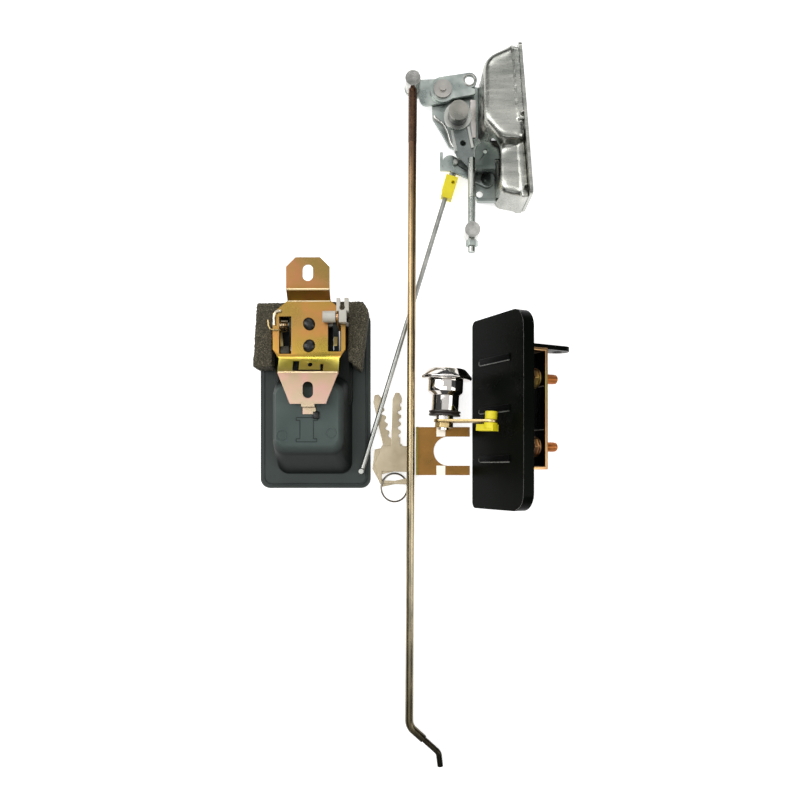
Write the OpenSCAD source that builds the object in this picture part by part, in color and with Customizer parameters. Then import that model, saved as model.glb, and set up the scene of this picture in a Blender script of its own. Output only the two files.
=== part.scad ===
// Cab door lock set: a latch with its levers, two rods, an inside handle, an outside handle,
// a lock cylinder with its retaining clip, and two keys on a ring.
// The set lies on a flat surface at z = 0, laid out before fitting. Sizes are in millimetres.

/* [Layout] */
// Latch pivot stud, left to right
latch_x = 30.5; // [27.5:0.5:33.5]
// Latch pivot stud, along the set
latch_y = 196; // [191.5:0.5:200.5]
// Middle of the inside handle, left to right
inside_x = -64.5; // [-70.5:0.5:-62.5]
// Middle of the inside handle, along the set
inside_y = 12; // [9.5:0.5:14.5]
// Low long edge of the outside grip, left to right
grip_x = 41.7; // [41.3:0.1:45.5]
// Middle of the outside grip, along the set
grip_y = 2; // [-2.5:0.5:7.5]
// Axis of the lock cylinder, left to right
lock_x = 23.3; // [21.5:0.2:24.5]
// Shoulder under the lock cap, along the set
lock_y = 24; // [22.5:0.5:26.5]
// Left end of the retaining clip
fork_x = 3.5; // [3:0.1:4]
// Middle of the retaining clip, along the set
fork_y = -22.5; // [-24.5:0.5:-21.5]
// Key hole of the keys, left to right
keys_x = -11; // [-11.5:0.1:-10.5]
// Key hole of the keys, along the set
keys_y = -39.5; // [-41.5:0.5:-37.5]

/* [Sheet and fits] */
// Thickness of the lever and bracket sheet
sheet_t = 2; // [1.6:0.1:2.2]
// Radial clearance of a pin in its bore
run_fit = 0.06; // [0.03:0.01:0.1]
// Clearance between pieces that move past each other
part_gap = 0.4; // [0.3:0.05:0.5]

/* [Latch case] */
// Height of the deep part of the case
case_h = 40; // [38:1:44]
// Height of the shallow part of the case
case_low_h = 32; // [30:1:35]
// Sheet thickness of the case
case_wall = 1.6; // [1.2:0.1:2]
// Rounding of the drawn edges of the case
case_round = 3.5; // [2:0.5:4]
// Turn of the face plate against the set
face_turn = 4.5; // [3:0.5:6]
// Length of the face plate
face_len = 97; // [95:1:99]
// Width of the striker mouth
mouth_w = 9.5; // [9:0.1:10.5]
// Depth of the rim along the face plate
rim_d = 4.5; // [3:0.5:6]
// Radius of the fastening holes in the face plate
face_hole_r = 3.1; // [2.5:0.1:3.5]

/* [Rotor and pawl] */
// Outer radius of the rotor
rotor_r = 16; // [15:0.5:16.5]
// Thickness of the rotor and of the pawl
rotor_t = 6; // [4:0.5:7]
// Radius of the rotor pin
rotor_pin_r = 4; // [3.5:0.1:4.3]
// Radius of the pawl pin
pawl_pin_r = 3; // [2.5:0.1:3.5]

/* [Latch levers] */
// Underside of the lever plate
lever_plate_z = 6; // [5.5:0.1:6.5]
// Radius of the main pivot stud
stud_r = 4; // [3:0.1:4.5]
// Radius of the head of the main pivot stud
stud_head_r = 6.4; // [5.5:0.1:7]
// Top of the main pivot stud
stud_top = 30; // [29:0.5:33]
// Underside of the release lever
release_z = 17.5; // [17:0.1:18]
// Length from the stud to the lower swivel
release_len = 75.5; // [72:0.5:80]
// Radius of the round arm of the release lever
release_arm_r = 2.4; // [2:0.1:2.8]
// Radius of the lower swivel
swivel_r = 5; // [4.5:0.1:5.5]
// Height of both swivels
swivel_h = 14; // [12:0.5:15]
// Radius of the lever rivets
rivet_r = 3; // [2.5:0.1:3.2]
// Radius of the washers under the rivet heads
washer_r = 6; // [5:0.1:6.5]

/* [Rods] */
// Radius of the long rod
rod_r = 2.75; // [2.4:0.05:2.9]
// Straight length of the long rod, from the swivel to the bend
rod_len = 428; // [415:1:435]
// Turn of the lower bend of the long rod
rod_bend = 48; // [42:1:54]
// Radius of the thin end of the long rod
rod_tip_r = 2; // [1.6:0.1:2.4]
// Radius of the thin rod
thin_r = 1.6; // [1.4:0.05:1.65]
// Length of the thin rod from hook to end
thin_len = 214.5; // [208:0.5:216]

/* [Inside handle] */
// Width of the flange
flange_w = 74.5; // [72:0.5:76]
// Length of the flange
flange_l = 119; // [117:0.5:122]
// Thickness of the flange
flange_t = 3.5; // [3:0.1:3.6]
// Depth of the finger pocket
cup_h = 30; // [29:0.5:31]
// Depth of the cup behind the bracket
cup_low_h = 15; // [14:0.5:16]
// Wall of the cup
cup_wall = 2.2; // [1.8:0.1:2.6]
// Width of the bracket plate
bracket_w = 46.5; // [45:0.5:48]
// Height of the fastening tabs above the bracket plate
bracket_step = 7; // [5:0.5:8]
// Width of the fastening slots
slot_w = 6.6; // [6:0.1:7.5]
// Length of the fastening slots
slot_l = 10.5; // [9:0.1:12]
// Radius of the lever pin
lever_pin_r = 2; // [1.5:0.1:2.4]
// Thickness of the foam pads
foam_t = 20; // [16:0.5:22]

/* [Outside handle] */
// Width of the grip plate
grip_w = 60; // [57:0.5:62]
// Length of the grip plate
grip_l = 126; // [122:1:130]
// Thickness of the grip plate
grip_t = 3; // [2.5:0.1:3.2]
// Tilt of the grip plate as it lies
grip_tilt = 63.5; // [61:0.5:66]
// Depth of the turned lip of the grip
grip_lip = 7.5; // [6:0.5:9]
// Length of the outside bracket
yoke_l = 77; // [72:0.5:80]
// Depth of the outside bracket behind the grip
yoke_d = 24; // [22:0.5:24.5]
// Radius of the hinge pin
hinge_r = 2.5; // [2:0.1:3]
// Radius of the fastening studs
fix_r = 3; // [2.5:0.1:3.5]
// Free length of the fastening studs
fix_len = 13; // [10:0.5:16]
// Distance between the fastening studs
fix_pitch = 44; // [40:0.5:48]
// Reach of the arm behind the grip
arm_len = 50; // [46:0.5:52]
// Radius of the rod hole in the arm
arm_hole_r = 3.2; // [2.5:0.1:4]

/* [Lock cylinder] */
// Radius of the rim of the cap
cap_r = 16.7; // [16:0.1:17.5]
// Height of the cap
cap_h = 7.2; // [6:0.1:8]
// Radius of the upper body
lock_r = 12.2; // [11.5:0.1:13]
// Radius of the lower body, which the retaining clip grips
neck_r = 9.1; // [8.7:0.1:9.4]
// Length of the lower body
neck_l = 10; // [9:0.1:11]
// Radius of the turning plug
plug_r = 6; // [5:0.1:6.5]
// Length of the cam from the axis to the rod hole
cam_len = 37; // [34:0.5:39]
// Angle of the cam above the surface
cam_angle = 41; // [36:1:48]

/* [Retaining clip] */
// Length of the clip
fork_l = 36.5; // [33:0.5:37]
// Width of the clip
fork_w = 32.6; // [31:0.2:34]
// Sheet thickness of the clip
fork_t = 1.5; // [1:0.1:1.8]
// Clearance of the clip round the lower body of the lock
fork_fit = 0.75; // [0.5:0.05:1]

/* [Keys] */
// Thickness of a key
key_t = 1.9; // [1.6:0.05:2]
// Width of a key bow
key_bow_w = 27; // [25:0.5:27.5]
// Length of a key blade
key_blade_l = 36; // [33:0.5:37]
// Width of a key blade
key_blade_w = 6.2; // [5.5:0.1:6.8]
// Radius of the key ring
ring_r = 9.5; // [9:0.1:10.5]
// Radius of the ring wire
ring_wire_r = 0.65; // [0.5:0.05:0.75]

/* [Hidden] */
$fn = 48;

zinc = "silver";
gold = "darkkhaki";
steel = "slategray";
black = [0.08, 0.09, 0.09];
yellow = "gold";
over = 1;

function unit(a) = [cos(a), sin(a)];

// Rectangle with round corners, centred
module round_rect(w, l, r) {
    square([w - 2 * r, l], center = true);
    square([w, l - 2 * r], center = true);
    for (sx = [-1, 1], sy = [-1, 1]) translate([sx * (w / 2 - r), sy * (l / 2 - r)]) circle(r);
}

// Slot with round ends, long way along y
module slot_shape(w, l) {
    square([w, l - w], center = true);
    for (s = [-1, 1]) translate([0, s * (l - w) / 2]) circle(w / 2);
}

// Lever outline: two round ends joined by their outer tangents
module link_shape(p, q, rp, rq) {
    a = atan2(q[1] - p[1], q[0] - p[0]);
    b = acos((rp - rq) / norm(q - p));
    translate(p) circle(rp);
    translate(q) circle(rq);
    polygon([p + rp * unit(a + b), p + rp * unit(a - b), q + rq * unit(a - b), q + rq * unit(a + b)]);
}

// Stands a profile up: its x runs along y, its y along z, and its thickness along x
module upright() rotate([90, 0, 90]) children();

// Round wire coil about z, starting at z = 0, swept as one closed skin
module coil(r, wire_r, turns, pitch, sides = 8, steps = 16) {
    count = round(turns * steps);
    points = [for (i = [0:count], k = [0:sides - 1])
        let (a = 360 * i / steps, b = 360 * k / sides, d = r + wire_r * cos(b))
        [d * cos(a), d * sin(a), pitch * i / steps + wire_r * sin(b)]];
    walls = [for (i = [0:count - 1], k = [0:sides - 1])
        let (n = (k + 1) % sides)
        [i * sides + k, i * sides + n, (i + 1) * sides + n, (i + 1) * sides + k]];
    ends = [[for (k = [sides - 1:-1:0]) k], [for (k = [0:sides - 1]) count * sides + k]];
    polyhedron(points, concat(walls, ends), convexity = 8);
}

// Latch case: a drawn pan, deep at the top and shallow at the bottom, open towards the face plate
face_x = latch_x + 40.5;
face_y = latch_y - 6.5;
face_up = face_len * 0.48;
face_down = face_len - face_up;
function on_face(d, s) = [face_x + d * cos(face_turn) - s * sin(face_turn),
                          face_y + d * sin(face_turn) + s * cos(face_turn)];
module at_face() translate([face_x, face_y, 0]) rotate([0, 0, face_turn]) children();

case_back_x = latch_x + 14.7;
case_step_x = latch_x + 26;
case_top_y = latch_y + 32;
deep_corner = 4;
low_corner = 2.5;
case_deep = [on_face(0, face_up), [case_step_x + 5, case_top_y + 5.5], [case_back_x + 4.3, case_top_y],
             [case_back_x, case_top_y - 5.5], [case_back_x, latch_y - 9.5],
             [case_step_x, latch_y - 22.5], on_face(0, -16)];
case_shallow = [on_face(0, -10), [case_step_x, latch_y - 14.5], [case_step_x, latch_y - 51],
                [case_step_x + 3, latch_y - 54], on_face(0, -face_down)];

// Outline of the pan with round corners, set in by a distance
module pan_outline(outline, corner, inset) offset(r = corner, $fn = 16)
    offset(delta = -corner - inset) polygon(outline);

// One block of the pan: straight walls with a drawn edge on top, inset by the wall for the hollow
slice = 0.1;
module pan_block(outline, corner, h, inset) {
    edge_r = max(case_round - inset, 1);
    hull() {
        translate([0, 0, inset]) linear_extrude(slice) pan_outline(outline, corner, inset);
        for (a = [0, 30, 60, 90]) translate([0, 0, h - inset - edge_r * (1 - sin(a)) - slice])
            linear_extrude(slice) pan_outline(outline, corner, inset + edge_r * (1 - cos(a)));
    }
}

rotor_y = 14;
rotor_z = case_h / 2;
rotor_x = -9;
slot_off = rotor_r * 0.56;
mouth_y = rotor_y - slot_off;
mouth_top = rotor_z + mouth_w / 2;
pawl_y = -18;
pawl_z = case_low_h / 2 + 2;
tab_t = sheet_t;
tab_z = 23;
pin_proud = 1.2;
rim_up = 1.5;
notch_w = 2.6;
notch_d = 2.2;
notch_h = 3;
// Each notch: its place along the face and the height of the case there
rim_notches = [[-0.7, case_h], [5.8 - face_down, case_low_h]];

module latch_case() color(zinc) difference() {
    union() {
        pan_block(case_deep, deep_corner, case_h, 0);
        pan_block(case_shallow, low_corner, case_low_h, 0);
        at_face() translate([-rim_d, -face_down, 0]) cube([rim_d, face_down - 6, case_low_h + rim_up]);
        at_face() translate([-rim_d, -4, 0]) cube([rim_d, face_up - 1, case_h + rim_up]);
    }
    intersection() {
        union() {
            pan_block(case_deep, deep_corner, case_h, case_wall);
            pan_block(case_shallow, low_corner, case_low_h, case_wall);
        }
        at_face() translate([over - rim_d - face_len, -face_len, 0])
            cube([face_len, 2 * face_len, 2 * case_h]);
    }
    // Open side behind the face plate
    at_face() translate([-rim_d - 2 * over, -face_down + case_wall + 1, case_wall])
        cube([rim_d + 4 * over, face_down, case_low_h - 2 * case_wall - 1]);
    at_face() translate([-rim_d - 2 * over, -8, case_wall])
        cube([rim_d + 4 * over, face_up + 4, case_h - 2 * case_wall - 1]);
    // Striker mouth through the wall on the far side
    at_face() translate([-face_len / 2, mouth_y - mouth_w / 2, -over])
        cube([face_len / 2 + over, mouth_w, case_wall + 2 * over]);
    // Holes of the two pins in the back wall
    at_face() upright() translate([rotor_y, rotor_z, -face_len])
        cylinder(r = rotor_pin_r + run_fit, h = face_len - over);
    at_face() upright() translate([pawl_y, pawl_z, -face_len])
        cylinder(r = pawl_pin_r + run_fit, h = face_len - over);
    // Slot of the pawl tab in the back wall of the shallow part
    translate([case_step_x - 4, latch_y - 41, tab_z - 3]) cube([8, 25, tab_t + 5]);
    // Notches in the rim along the face plate
    for (n = rim_notches) at_face() translate([-notch_d, n[0] - notch_w / 2, n[1] + rim_up - notch_h])
        cube([notch_d + over, notch_w, notch_h + over]);
}

face_hole_ys = [face_up - 9, -face_down + 9];
face_hole_z = case_low_h - 7;
module face_plate() color(zinc) at_face() upright() difference() {
    linear_extrude(sheet_t) difference() {
        translate([(face_up - face_down) / 2, case_h / 2]) round_rect(face_len, case_h, 4);
        translate([mouth_y - mouth_w / 2, -over]) square([mouth_w, mouth_top - mouth_w / 2 + over]);
        translate([mouth_y, mouth_top - mouth_w / 2]) circle(mouth_w / 2);
    }
    for (y = face_hole_ys) translate([y, face_hole_z, -over])
        cylinder(r = face_hole_r, h = sheet_t + 2 * over);
    translate([rotor_y, rotor_z, -over]) cylinder(r = rotor_pin_r + run_fit, h = sheet_t + 2 * over);
    translate([pawl_y, pawl_z, -over]) cylinder(r = pawl_pin_r + run_fit, h = sheet_t + 2 * over);
}

// Rotor: a fork that takes the striker between its two fingers
striker_slot = mouth_w - 1;
module rotor() color(steel) at_face() upright() translate([rotor_y, rotor_z, rotor_x]) difference() {
    linear_extrude(rotor_t) difference() {
        circle(rotor_r);
        translate([-slot_off - striker_slot / 2, -rotor_r - over]) square([striker_slot, rotor_r + over]);
        translate([-slot_off, 0]) circle(striker_slot / 2);
        translate([-rotor_r - over, -rotor_r - over]) square([rotor_r - slot_off, rotor_r - 6]);
        translate([rotor_r, -rotor_r]) circle(rotor_r * 0.75);
    }
    translate([0, 0, -over]) cylinder(r = rotor_pin_r + run_fit, h = rotor_t + 2 * over);
}

module flanged_pin(r, back, front) {
    translate([0, 0, back]) cylinder(r = r, h = front - back);
    translate([0, 0, front - 0.9]) cylinder(r = r + 1.3, h = 0.9);
}
rotor_pin_back = case_back_x - face_x + case_wall;
pawl_pin_back = case_step_x - face_x - case_wall / 2;
module rotor_pin() color(steel) at_face() upright()
    translate([rotor_y, rotor_z, 0]) flanged_pin(rotor_pin_r, rotor_pin_back, sheet_t + pin_proud);
module pawl_pin() color(steel) at_face() upright()
    translate([pawl_y, pawl_z, 0]) flanged_pin(pawl_pin_r, pawl_pin_back, sheet_t + pin_proud);

spring_wire = 0.7;
module rotor_spring() color(steel) at_face() upright()
    translate([rotor_y, rotor_z, rotor_x - part_gap - spring_wire - 3 * 2])
    coil(rotor_pin_r + spring_wire + 0.3, spring_wire, 3, 2);
module pawl_spring() color(steel) at_face() upright()
    translate([pawl_y, pawl_z, rotor_x - part_gap - spring_wire - 2 * 1.5])
    coil(pawl_pin_r + spring_wire + 0.3, spring_wire, 2, 1.5);

// Pawl: its nose rides on the rim of the rotor, its tail takes the spring
pawl_nose = rotor_y - pawl_y - rotor_r - part_gap - 0.1;
pawl_hub_r = pawl_pin_r + 3;
pawl_rise = rotor_z - pawl_z;
module pawl() color(steel) at_face() upright() translate([pawl_y, pawl_z, rotor_x]) difference() {
    linear_extrude(rotor_t) {
        circle(pawl_hub_r);
        polygon([[0, pawl_hub_r - 1], [pawl_nose - 3, pawl_rise + 3.2], [pawl_nose, pawl_rise + 1.4],
                 [pawl_nose, pawl_rise - 1.4], [pawl_nose - 3, pawl_rise - 3.2], [0, 1 - pawl_hub_r]]);
        polygon([[-1, pawl_hub_r - 2], [-11, -2.6], [-12.4, -5.4], [-11, -7.6], [-8, -8],
                 [0, 2 - pawl_hub_r]]);
    }
    translate([0, 0, -over]) cylinder(r = pawl_pin_r + run_fit, h = rotor_t + 2 * over);
}

// Pawl tab: a tombstone-shaped finger plate that leaves the case through its slot
tab_r = 6.5;
tab_x = case_step_x - tab_r - 2;
tab_y = latch_y - 24.5;
tab_base = latch_y - 35;
module pawl_tab() color(zinc) difference() {
    union() {
        translate([0, 0, tab_z]) linear_extrude(tab_t) {
            translate([tab_x, tab_y]) circle(tab_r);
            translate([tab_x - tab_r, tab_base]) square([2 * tab_r, tab_y - tab_base]);
            translate([tab_x, face_y + pawl_y - 5]) square([40, 8]);
        }
        translate([tab_x - tab_r, tab_base - tab_t, tab_z]) cube([2 * tab_r, tab_t + 0.5, tab_t + 3]);
    }
    at_face() translate([rotor_x, -face_len, 0]) cube([face_len, 2 * face_len, 2 * case_h]);
    translate([tab_x, tab_y, tab_z - over]) cylinder(r = 1.4, h = tab_t + 2 * over);
}

// Levers, all placed from the main pivot stud
function from_stud(x, y) = [latch_x + x, latch_y + y];
plate_top = lever_plate_z + sheet_t;
lever_z = plate_top + 1;
eye_z = lever_z + sheet_t;
rod_pivot = from_stud(-9.4, 21.4);
swivel_at = from_stud(-29.4, 23.1);
eye_at = from_stud(8.3, 27.5);
lock_pivot = from_stud(20.4, -37.8);
hook_at = from_stud(-0.9, -27);
leg_x = latch_x + 8.6;
leg_top = 16;

module lever_plate() color(zinc) {
    translate([0, 0, lever_plate_z]) difference() {
        linear_extrude(sheet_t) {
            polygon([from_stud(-17, 24), from_stud(-8, 30), [case_back_x, latch_y + 25],
                     [case_back_x, latch_y - 10.2], [case_step_x - 0.6, latch_y - 23.6],
                     [case_step_x, latch_y - 26], [case_step_x, latch_y - 51],
                     from_stud(14, -52), from_stud(12, -47), from_stud(12, -31), from_stud(4, -19),
                     from_stud(-5, -15), from_stud(-10, -6), from_stud(-16, 4)]);
        }
        translate([latch_x, latch_y, -over]) cylinder(r = stud_r + run_fit, h = sheet_t + 2 * over);
        for (p = [rod_pivot, lock_pivot])
            translate([p[0], p[1], -over]) cylinder(r = rivet_r + run_fit, h = sheet_t + 2 * over);
        translate([latch_x + 15.5, latch_y - 46.5, -over]) cylinder(r = 2.2, h = sheet_t + 2 * over);
    }
    // Turned-up leg with a flat top beside the stud
    translate([leg_x, latch_y - 12, plate_top - 0.5]) cube([sheet_t, 25, leg_top - plate_top + 0.5]);
    translate([leg_x, latch_y - 12, leg_top - sheet_t]) cube([case_back_x - leg_x - 2.5, 25, sheet_t]);
    // Bottom rim that ties the plate to the foot of the case
    translate([latch_x + 14, latch_y - 52, lever_plate_z]) cube([case_step_x - latch_x - 14, sheet_t, 5]);
}

release_t = 4;
module main_stud() color(zinc) translate([latch_x, latch_y, 0]) {
    translate([0, 0, lever_plate_z - 1]) cylinder(r = stud_r, h = stud_top - lever_plate_z);
    translate([0, 0, plate_top]) cylinder(r = stud_r + 2, h = release_z - part_gap - plate_top);
    translate([0, 0, release_z + release_t + part_gap])
        cylinder(r = stud_head_r, h = stud_top - release_z - release_t - part_gap);
}

arm_x = 9.2;
arm_z = release_z + release_t / 2;
lip_t = 1.6;
module release_lever() color(zinc) translate([latch_x, latch_y, 0]) {
    translate([0, 0, release_z]) difference() {
        union() {
            cylinder(r = 9, h = release_t);
            linear_extrude(sheet_t) {
                link_shape([0, 0], [4.5, -22], 8.2, 6);
                link_shape([4.5, -22], [arm_x, -31], 5.6, release_arm_r);
            }
            // Raised edges of the channel below the stud
            for (s = [-1, 1]) translate([2.4, -13, 0]) rotate([0, 0, 12])
                translate([s * 5.5 - lip_t / 2, -9, 0]) cube([lip_t, 14, release_t - 0.2]);
        }
        translate([0, 0, -over]) cylinder(r = stud_r + run_fit, h = release_t + 2 * over);
        translate([3.6, -17, -over]) cylinder(r = 2, h = release_t);
    }
    translate([arm_x, -27, arm_z]) rotate([90, 0, 0])
        cylinder(r = release_arm_r, h = release_len - 27 + 13);
}

module lower_swivel() color(zinc) translate([latch_x + arm_x, latch_y - release_len, arm_z]) difference() {
    translate([0, 0, -swivel_h / 2]) cylinder(r = swivel_r, h = swivel_h);
    rotate([90, 0, 0]) translate([0, 0, -10]) cylinder(r = release_arm_r + run_fit, h = 20);
}
nut_t = 4;
module swivel_nut() color(zinc)
    translate([latch_x + arm_x, latch_y - release_len - swivel_r - part_gap, arm_z]) rotate([90, 0, 0])
    difference() {
        cylinder(r = 4.2, h = nut_t, $fn = 6);
        translate([0, 0, -over]) cylinder(r = release_arm_r + run_fit, h = nut_t + 2 * over);
    }

stem_r = 2.5;
module rod_lever() color(zinc) translate([0, 0, lever_z]) difference() {
    linear_extrude(sheet_t) {
        link_shape(rod_pivot, swivel_at, 8, 5.5);
        link_shape(rod_pivot, from_stud(-20, 16.5), 8, 5);
    }
    translate([rod_pivot[0], rod_pivot[1], -over]) cylinder(r = rivet_r + run_fit, h = sheet_t + 2 * over);
    translate([swivel_at[0], swivel_at[1], -over]) cylinder(r = stem_r + run_fit, h = sheet_t + 2 * over);
}
module eye_plate() color(zinc) translate([0, 0, eye_z]) difference() {
    linear_extrude(sheet_t) difference() {
        union() {
            link_shape(rod_pivot, eye_at, 8.4, 5);
            link_shape(rod_pivot, from_stud(10.5, 20), 7, 2);
        }
        translate(eye_at) circle(3);
    }
    translate([rod_pivot[0], rod_pivot[1], -over]) cylinder(r = rivet_r + run_fit, h = sheet_t + 2 * over);
}
module head_rivet(p, top, head_r, head_t) translate([p[0], p[1], lever_plate_z - 0.8]) {
    cylinder(r = rivet_r, h = top - lever_plate_z + 0.8);
    translate([0, 0, top - lever_plate_z + 0.8 + part_gap * 0.75]) cylinder(r = head_r, h = head_t);
    cylinder(r = rivet_r * 0.7, h = top - lever_plate_z + 0.8 + part_gap + head_t + 1.2);
}
module rod_lever_rivet() color(zinc) head_rivet(rod_pivot, eye_z + sheet_t, washer_r, 1.2);
module lock_lever_rivet() color(zinc) head_rivet(lock_pivot, lever_z + sheet_t, washer_r - 1.5, 1.2);

barrel_z = lever_z + sheet_t + part_gap;
rod_z = barrel_z + swivel_h / 2;
module upper_swivel() color(zinc) difference() {
    translate([swivel_at[0], swivel_at[1], 0]) {
        translate([0, 0, barrel_z]) cylinder(r = swivel_r, h = swivel_h);
        translate([0, 0, lever_z - part_gap - 1])
            cylinder(r = stem_r, h = barrel_z - lever_z + part_gap + 1.5);
        translate([0, 0, lever_z - part_gap - 1]) cylinder(r = stem_r + 1, h = 1);
    }
    at_rod() rotate([90, 0, 0]) translate([0, 0, -3.5]) cylinder(r = rod_r + run_fit, h = 20);
}

module lock_lever() color(zinc) translate([0, 0, lever_z]) difference() {
    linear_extrude(sheet_t) {
        link_shape(lock_pivot, from_stud(-4.5, -26.5), 4.8, 5);
        translate(from_stud(-11.2, -32)) square([2, 12.5]);
        translate(from_stud(-11.2, -32)) square([8, 3]);
    }
    translate([lock_pivot[0], lock_pivot[1], -over])
        cylinder(r = rivet_r + run_fit, h = sheet_t + 2 * over);
    translate([hook_at[0], hook_at[1], -over]) cylinder(r = thin_r + run_fit, h = sheet_t + 2 * over);
}

clip_near = 8;
clip_l = 15;
module rod_clip() color(yellow) at_thin() difference() {
    union() {
        translate([-3.6, -clip_near - clip_l, -3.6]) cube([8, clip_l, 7.2]);
        translate([-2.2, -clip_near - 0.5, -3.6]) cube([4.4, clip_near + 0.5, 1.8]);
        translate([0, 0, -3.6]) cylinder(r = 4, h = 1.8);
    }
    rotate([90, 0, 0]) translate([0, 0, -10]) cylinder(r = thin_r + run_fit, h = clip_near + clip_l + 20);
    translate([2.2, -clip_near - 4, 0]) cylinder(r = 1.2, h = 10);
    for (s = [0, 1]) translate([-4 + 8.4 * s, -clip_near - clip_l - 0.5, -5]) cube([1, 5, 10]);
}

// Rods. The long rod runs down from the upper swivel, the thin rod from its hook in the lock lever
rod_rest = rod_r + 1.1;
rod_fall = asin((rod_z - rod_rest) / rod_len);
rod_lean = -0.3;
rod_bend_r = 9;
rod_shank = 9;
rod_tip = 12.5;
rod_end = 7.5;
rod_back_bend = 41;
back_bend_r = rod_bend_r * 0.6;
bend_swell = 0.03;
joint_lap = 0.2;
module at_rod() translate([swivel_at[0], swivel_at[1], rod_z]) rotate([rod_fall, 0, rod_lean]) children();

// A bar along -y, and a bend that starts along -y and turns towards +x or back towards -x
module bar(r, l) rotate([90, 0, 0]) cylinder(r = r, h = l);
module bend_right(r, bend_r, a) translate([bend_r, 0, 0]) rotate([0, 0, 180])
    rotate_extrude(angle = a) translate([bend_r, 0]) circle(r);
module bend_left(r, bend_r, a) translate([-bend_r, 0, 0]) rotate([0, 0, -a])
    rotate_extrude(angle = a) translate([bend_r, 0]) circle(r);
module after_right(bend_r, a) translate([bend_r, 0, 0]) rotate([0, 0, a])
    translate([-bend_r, 0, 0]) children();
module after_left(bend_r, a) translate([-bend_r, 0, 0]) rotate([0, 0, -a])
    translate([bend_r, 0, 0]) children();

module long_rod() color(gold) at_rod() {
    translate([0, 3, 0]) bar(rod_r, rod_len - rod_bend_r / 2 + 3 + joint_lap);
    translate([0, -rod_len + rod_bend_r / 2, 0]) {
        bend_right(rod_r + bend_swell, rod_bend_r, rod_bend);
        after_right(rod_bend_r, rod_bend) {
            translate([0, joint_lap, 0]) bar(rod_r, rod_shank + joint_lap);
            translate([0, -rod_shank + 0.5, 0]) bar(rod_tip_r, rod_tip + joint_lap);
            translate([0, -rod_shank + 0.5 - rod_tip, 0]) {
                bend_left(rod_tip_r + bend_swell, back_bend_r, rod_back_bend);
                after_left(back_bend_r, rod_back_bend) translate([0, joint_lap, 0]) bar(rod_tip_r, rod_end);
            }
        }
    }
}

thin_bend_r = 2.4;
// The hook stands upright before it enters the lever
thin_z = lever_z - thin_bend_r - 0.2;
thin_low = flange_t + thin_r + 0.3;
thin_fall = asin((thin_z - thin_low) / thin_len);
thin_turn = -17;
thin_hook = 5.6;
thin_end = 6;
module at_thin() translate([hook_at[0], hook_at[1], thin_z]) rotate([thin_fall, 0, thin_turn]) children();
module thin_rod() color(zinc) at_thin() {
    translate([0, -thin_bend_r, 0]) bar(thin_r, thin_len - 2 * thin_bend_r);
    translate([0, -thin_bend_r, thin_bend_r]) upright() rotate([0, 0, -90])
        rotate_extrude(angle = 90) translate([thin_bend_r, 0]) circle(thin_r);
    translate([0, 0, thin_bend_r]) cylinder(r = thin_r, h = thin_hook);
    translate([0, -thin_len + thin_bend_r, thin_bend_r]) upright() rotate([0, 0, 180])
        rotate_extrude(angle = 90) translate([thin_bend_r, 0]) circle(thin_r);
    translate([0, -thin_len, thin_bend_r]) cylinder(r = thin_r, h = thin_end);
}

// Inside handle, lying on its front: a cup with a flange, deep at the finger pocket
module at_inside() translate([inside_x, inside_y, 0]) children();
cup_w = 51;
cup_low_y = -51.4;
cup_high_y = 51.5;
pocket_top_y = 21;
pocket_slope = 17.5;
cup_draft = 5;
bracket_x = -1;
post_ys = [46.1, 32.1];
post_r = 3.3;
pivot_y = 47.5;
pivot_z = 22;
lever_arm_t = 3;
lever_arm_xs = [-13.1, 15.3];

module level(x0, x1, y0, y1, z, r) translate([(x0 + x1) / 2, (y0 + y1) / 2, z])
    linear_extrude(0.2) round_rect(x1 - x0, y1 - y0, r);
module pocket(inset) hull() {
    h = cup_h - inset;
    x = cup_w / 2 - inset;
    y0 = cup_low_y + inset;
    y1 = pocket_top_y - inset;
    r = 8 - inset;
    level(-x, x, y0, y1, 1, r);
    level(-x + 0.4, x - cup_draft + 1, y0 + pocket_slope * 0.75, y1 - 10, h - 7, r);
    level(-x + 0.6, x - cup_draft, y0 + pocket_slope * 0.92, y1 - 12, h - 3, r);
    level(-x + 3, x - cup_draft - 3, y0 + pocket_slope + 3, y1 - 15, h - 0.2, 5);
}
module low_cup(inset) hull() {
    x = cup_w / 2 - inset;
    level(-x, x, -6, cup_high_y - inset, 1, 6 - inset);
    level(-x, x, -6, cup_high_y - inset, cup_low_h - 2.2 - inset, 6 - inset);
    level(-x + 2, x - 2, -6, cup_high_y - inset - 2, cup_low_h - 0.2 - inset, 5 - inset);
}
module inside_cup() color(black) at_inside() {
    difference() {
        union() {
            linear_extrude(flange_t * 0.45) round_rect(flange_w, flange_l, 6.5);
            linear_extrude(flange_t) round_rect(flange_w - 5, flange_l - 5, 5);
            pocket(0);
            low_cup(0);
        }
        translate([0, 0, -over]) linear_extrude(2 * over + 0.3) translate([0, (cup_low_y + cup_high_y) / 2])
            round_rect(cup_w - 2 * cup_wall, cup_high_y - cup_low_y - 2 * cup_wall, 4);
        pocket(cup_wall);
        low_cup(cup_wall);
        for (x = lever_arm_xs) translate([x - lever_arm_t / 2 - 0.8, 20.5, cup_low_h - cup_wall - 2])
            cube([lever_arm_t + 1.6, 28, cup_h]);
    }
    // Posts for the bracket, notched where the lever pin crosses
    difference() {
        for (y = post_ys) translate([bracket_x, y, cup_low_h - 1]) {
            cylinder(r = post_r, h = cup_h + sheet_t + 1 - cup_low_h + 1);
            cylinder(r = post_r + 1.5, h = cup_h - cup_low_h + 1);
        }
        translate([-cup_w / 2, pivot_y, pivot_z]) rotate([0, 90, 0])
            cylinder(r = lever_pin_r + part_gap, h = cup_w);
    }
}

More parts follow.
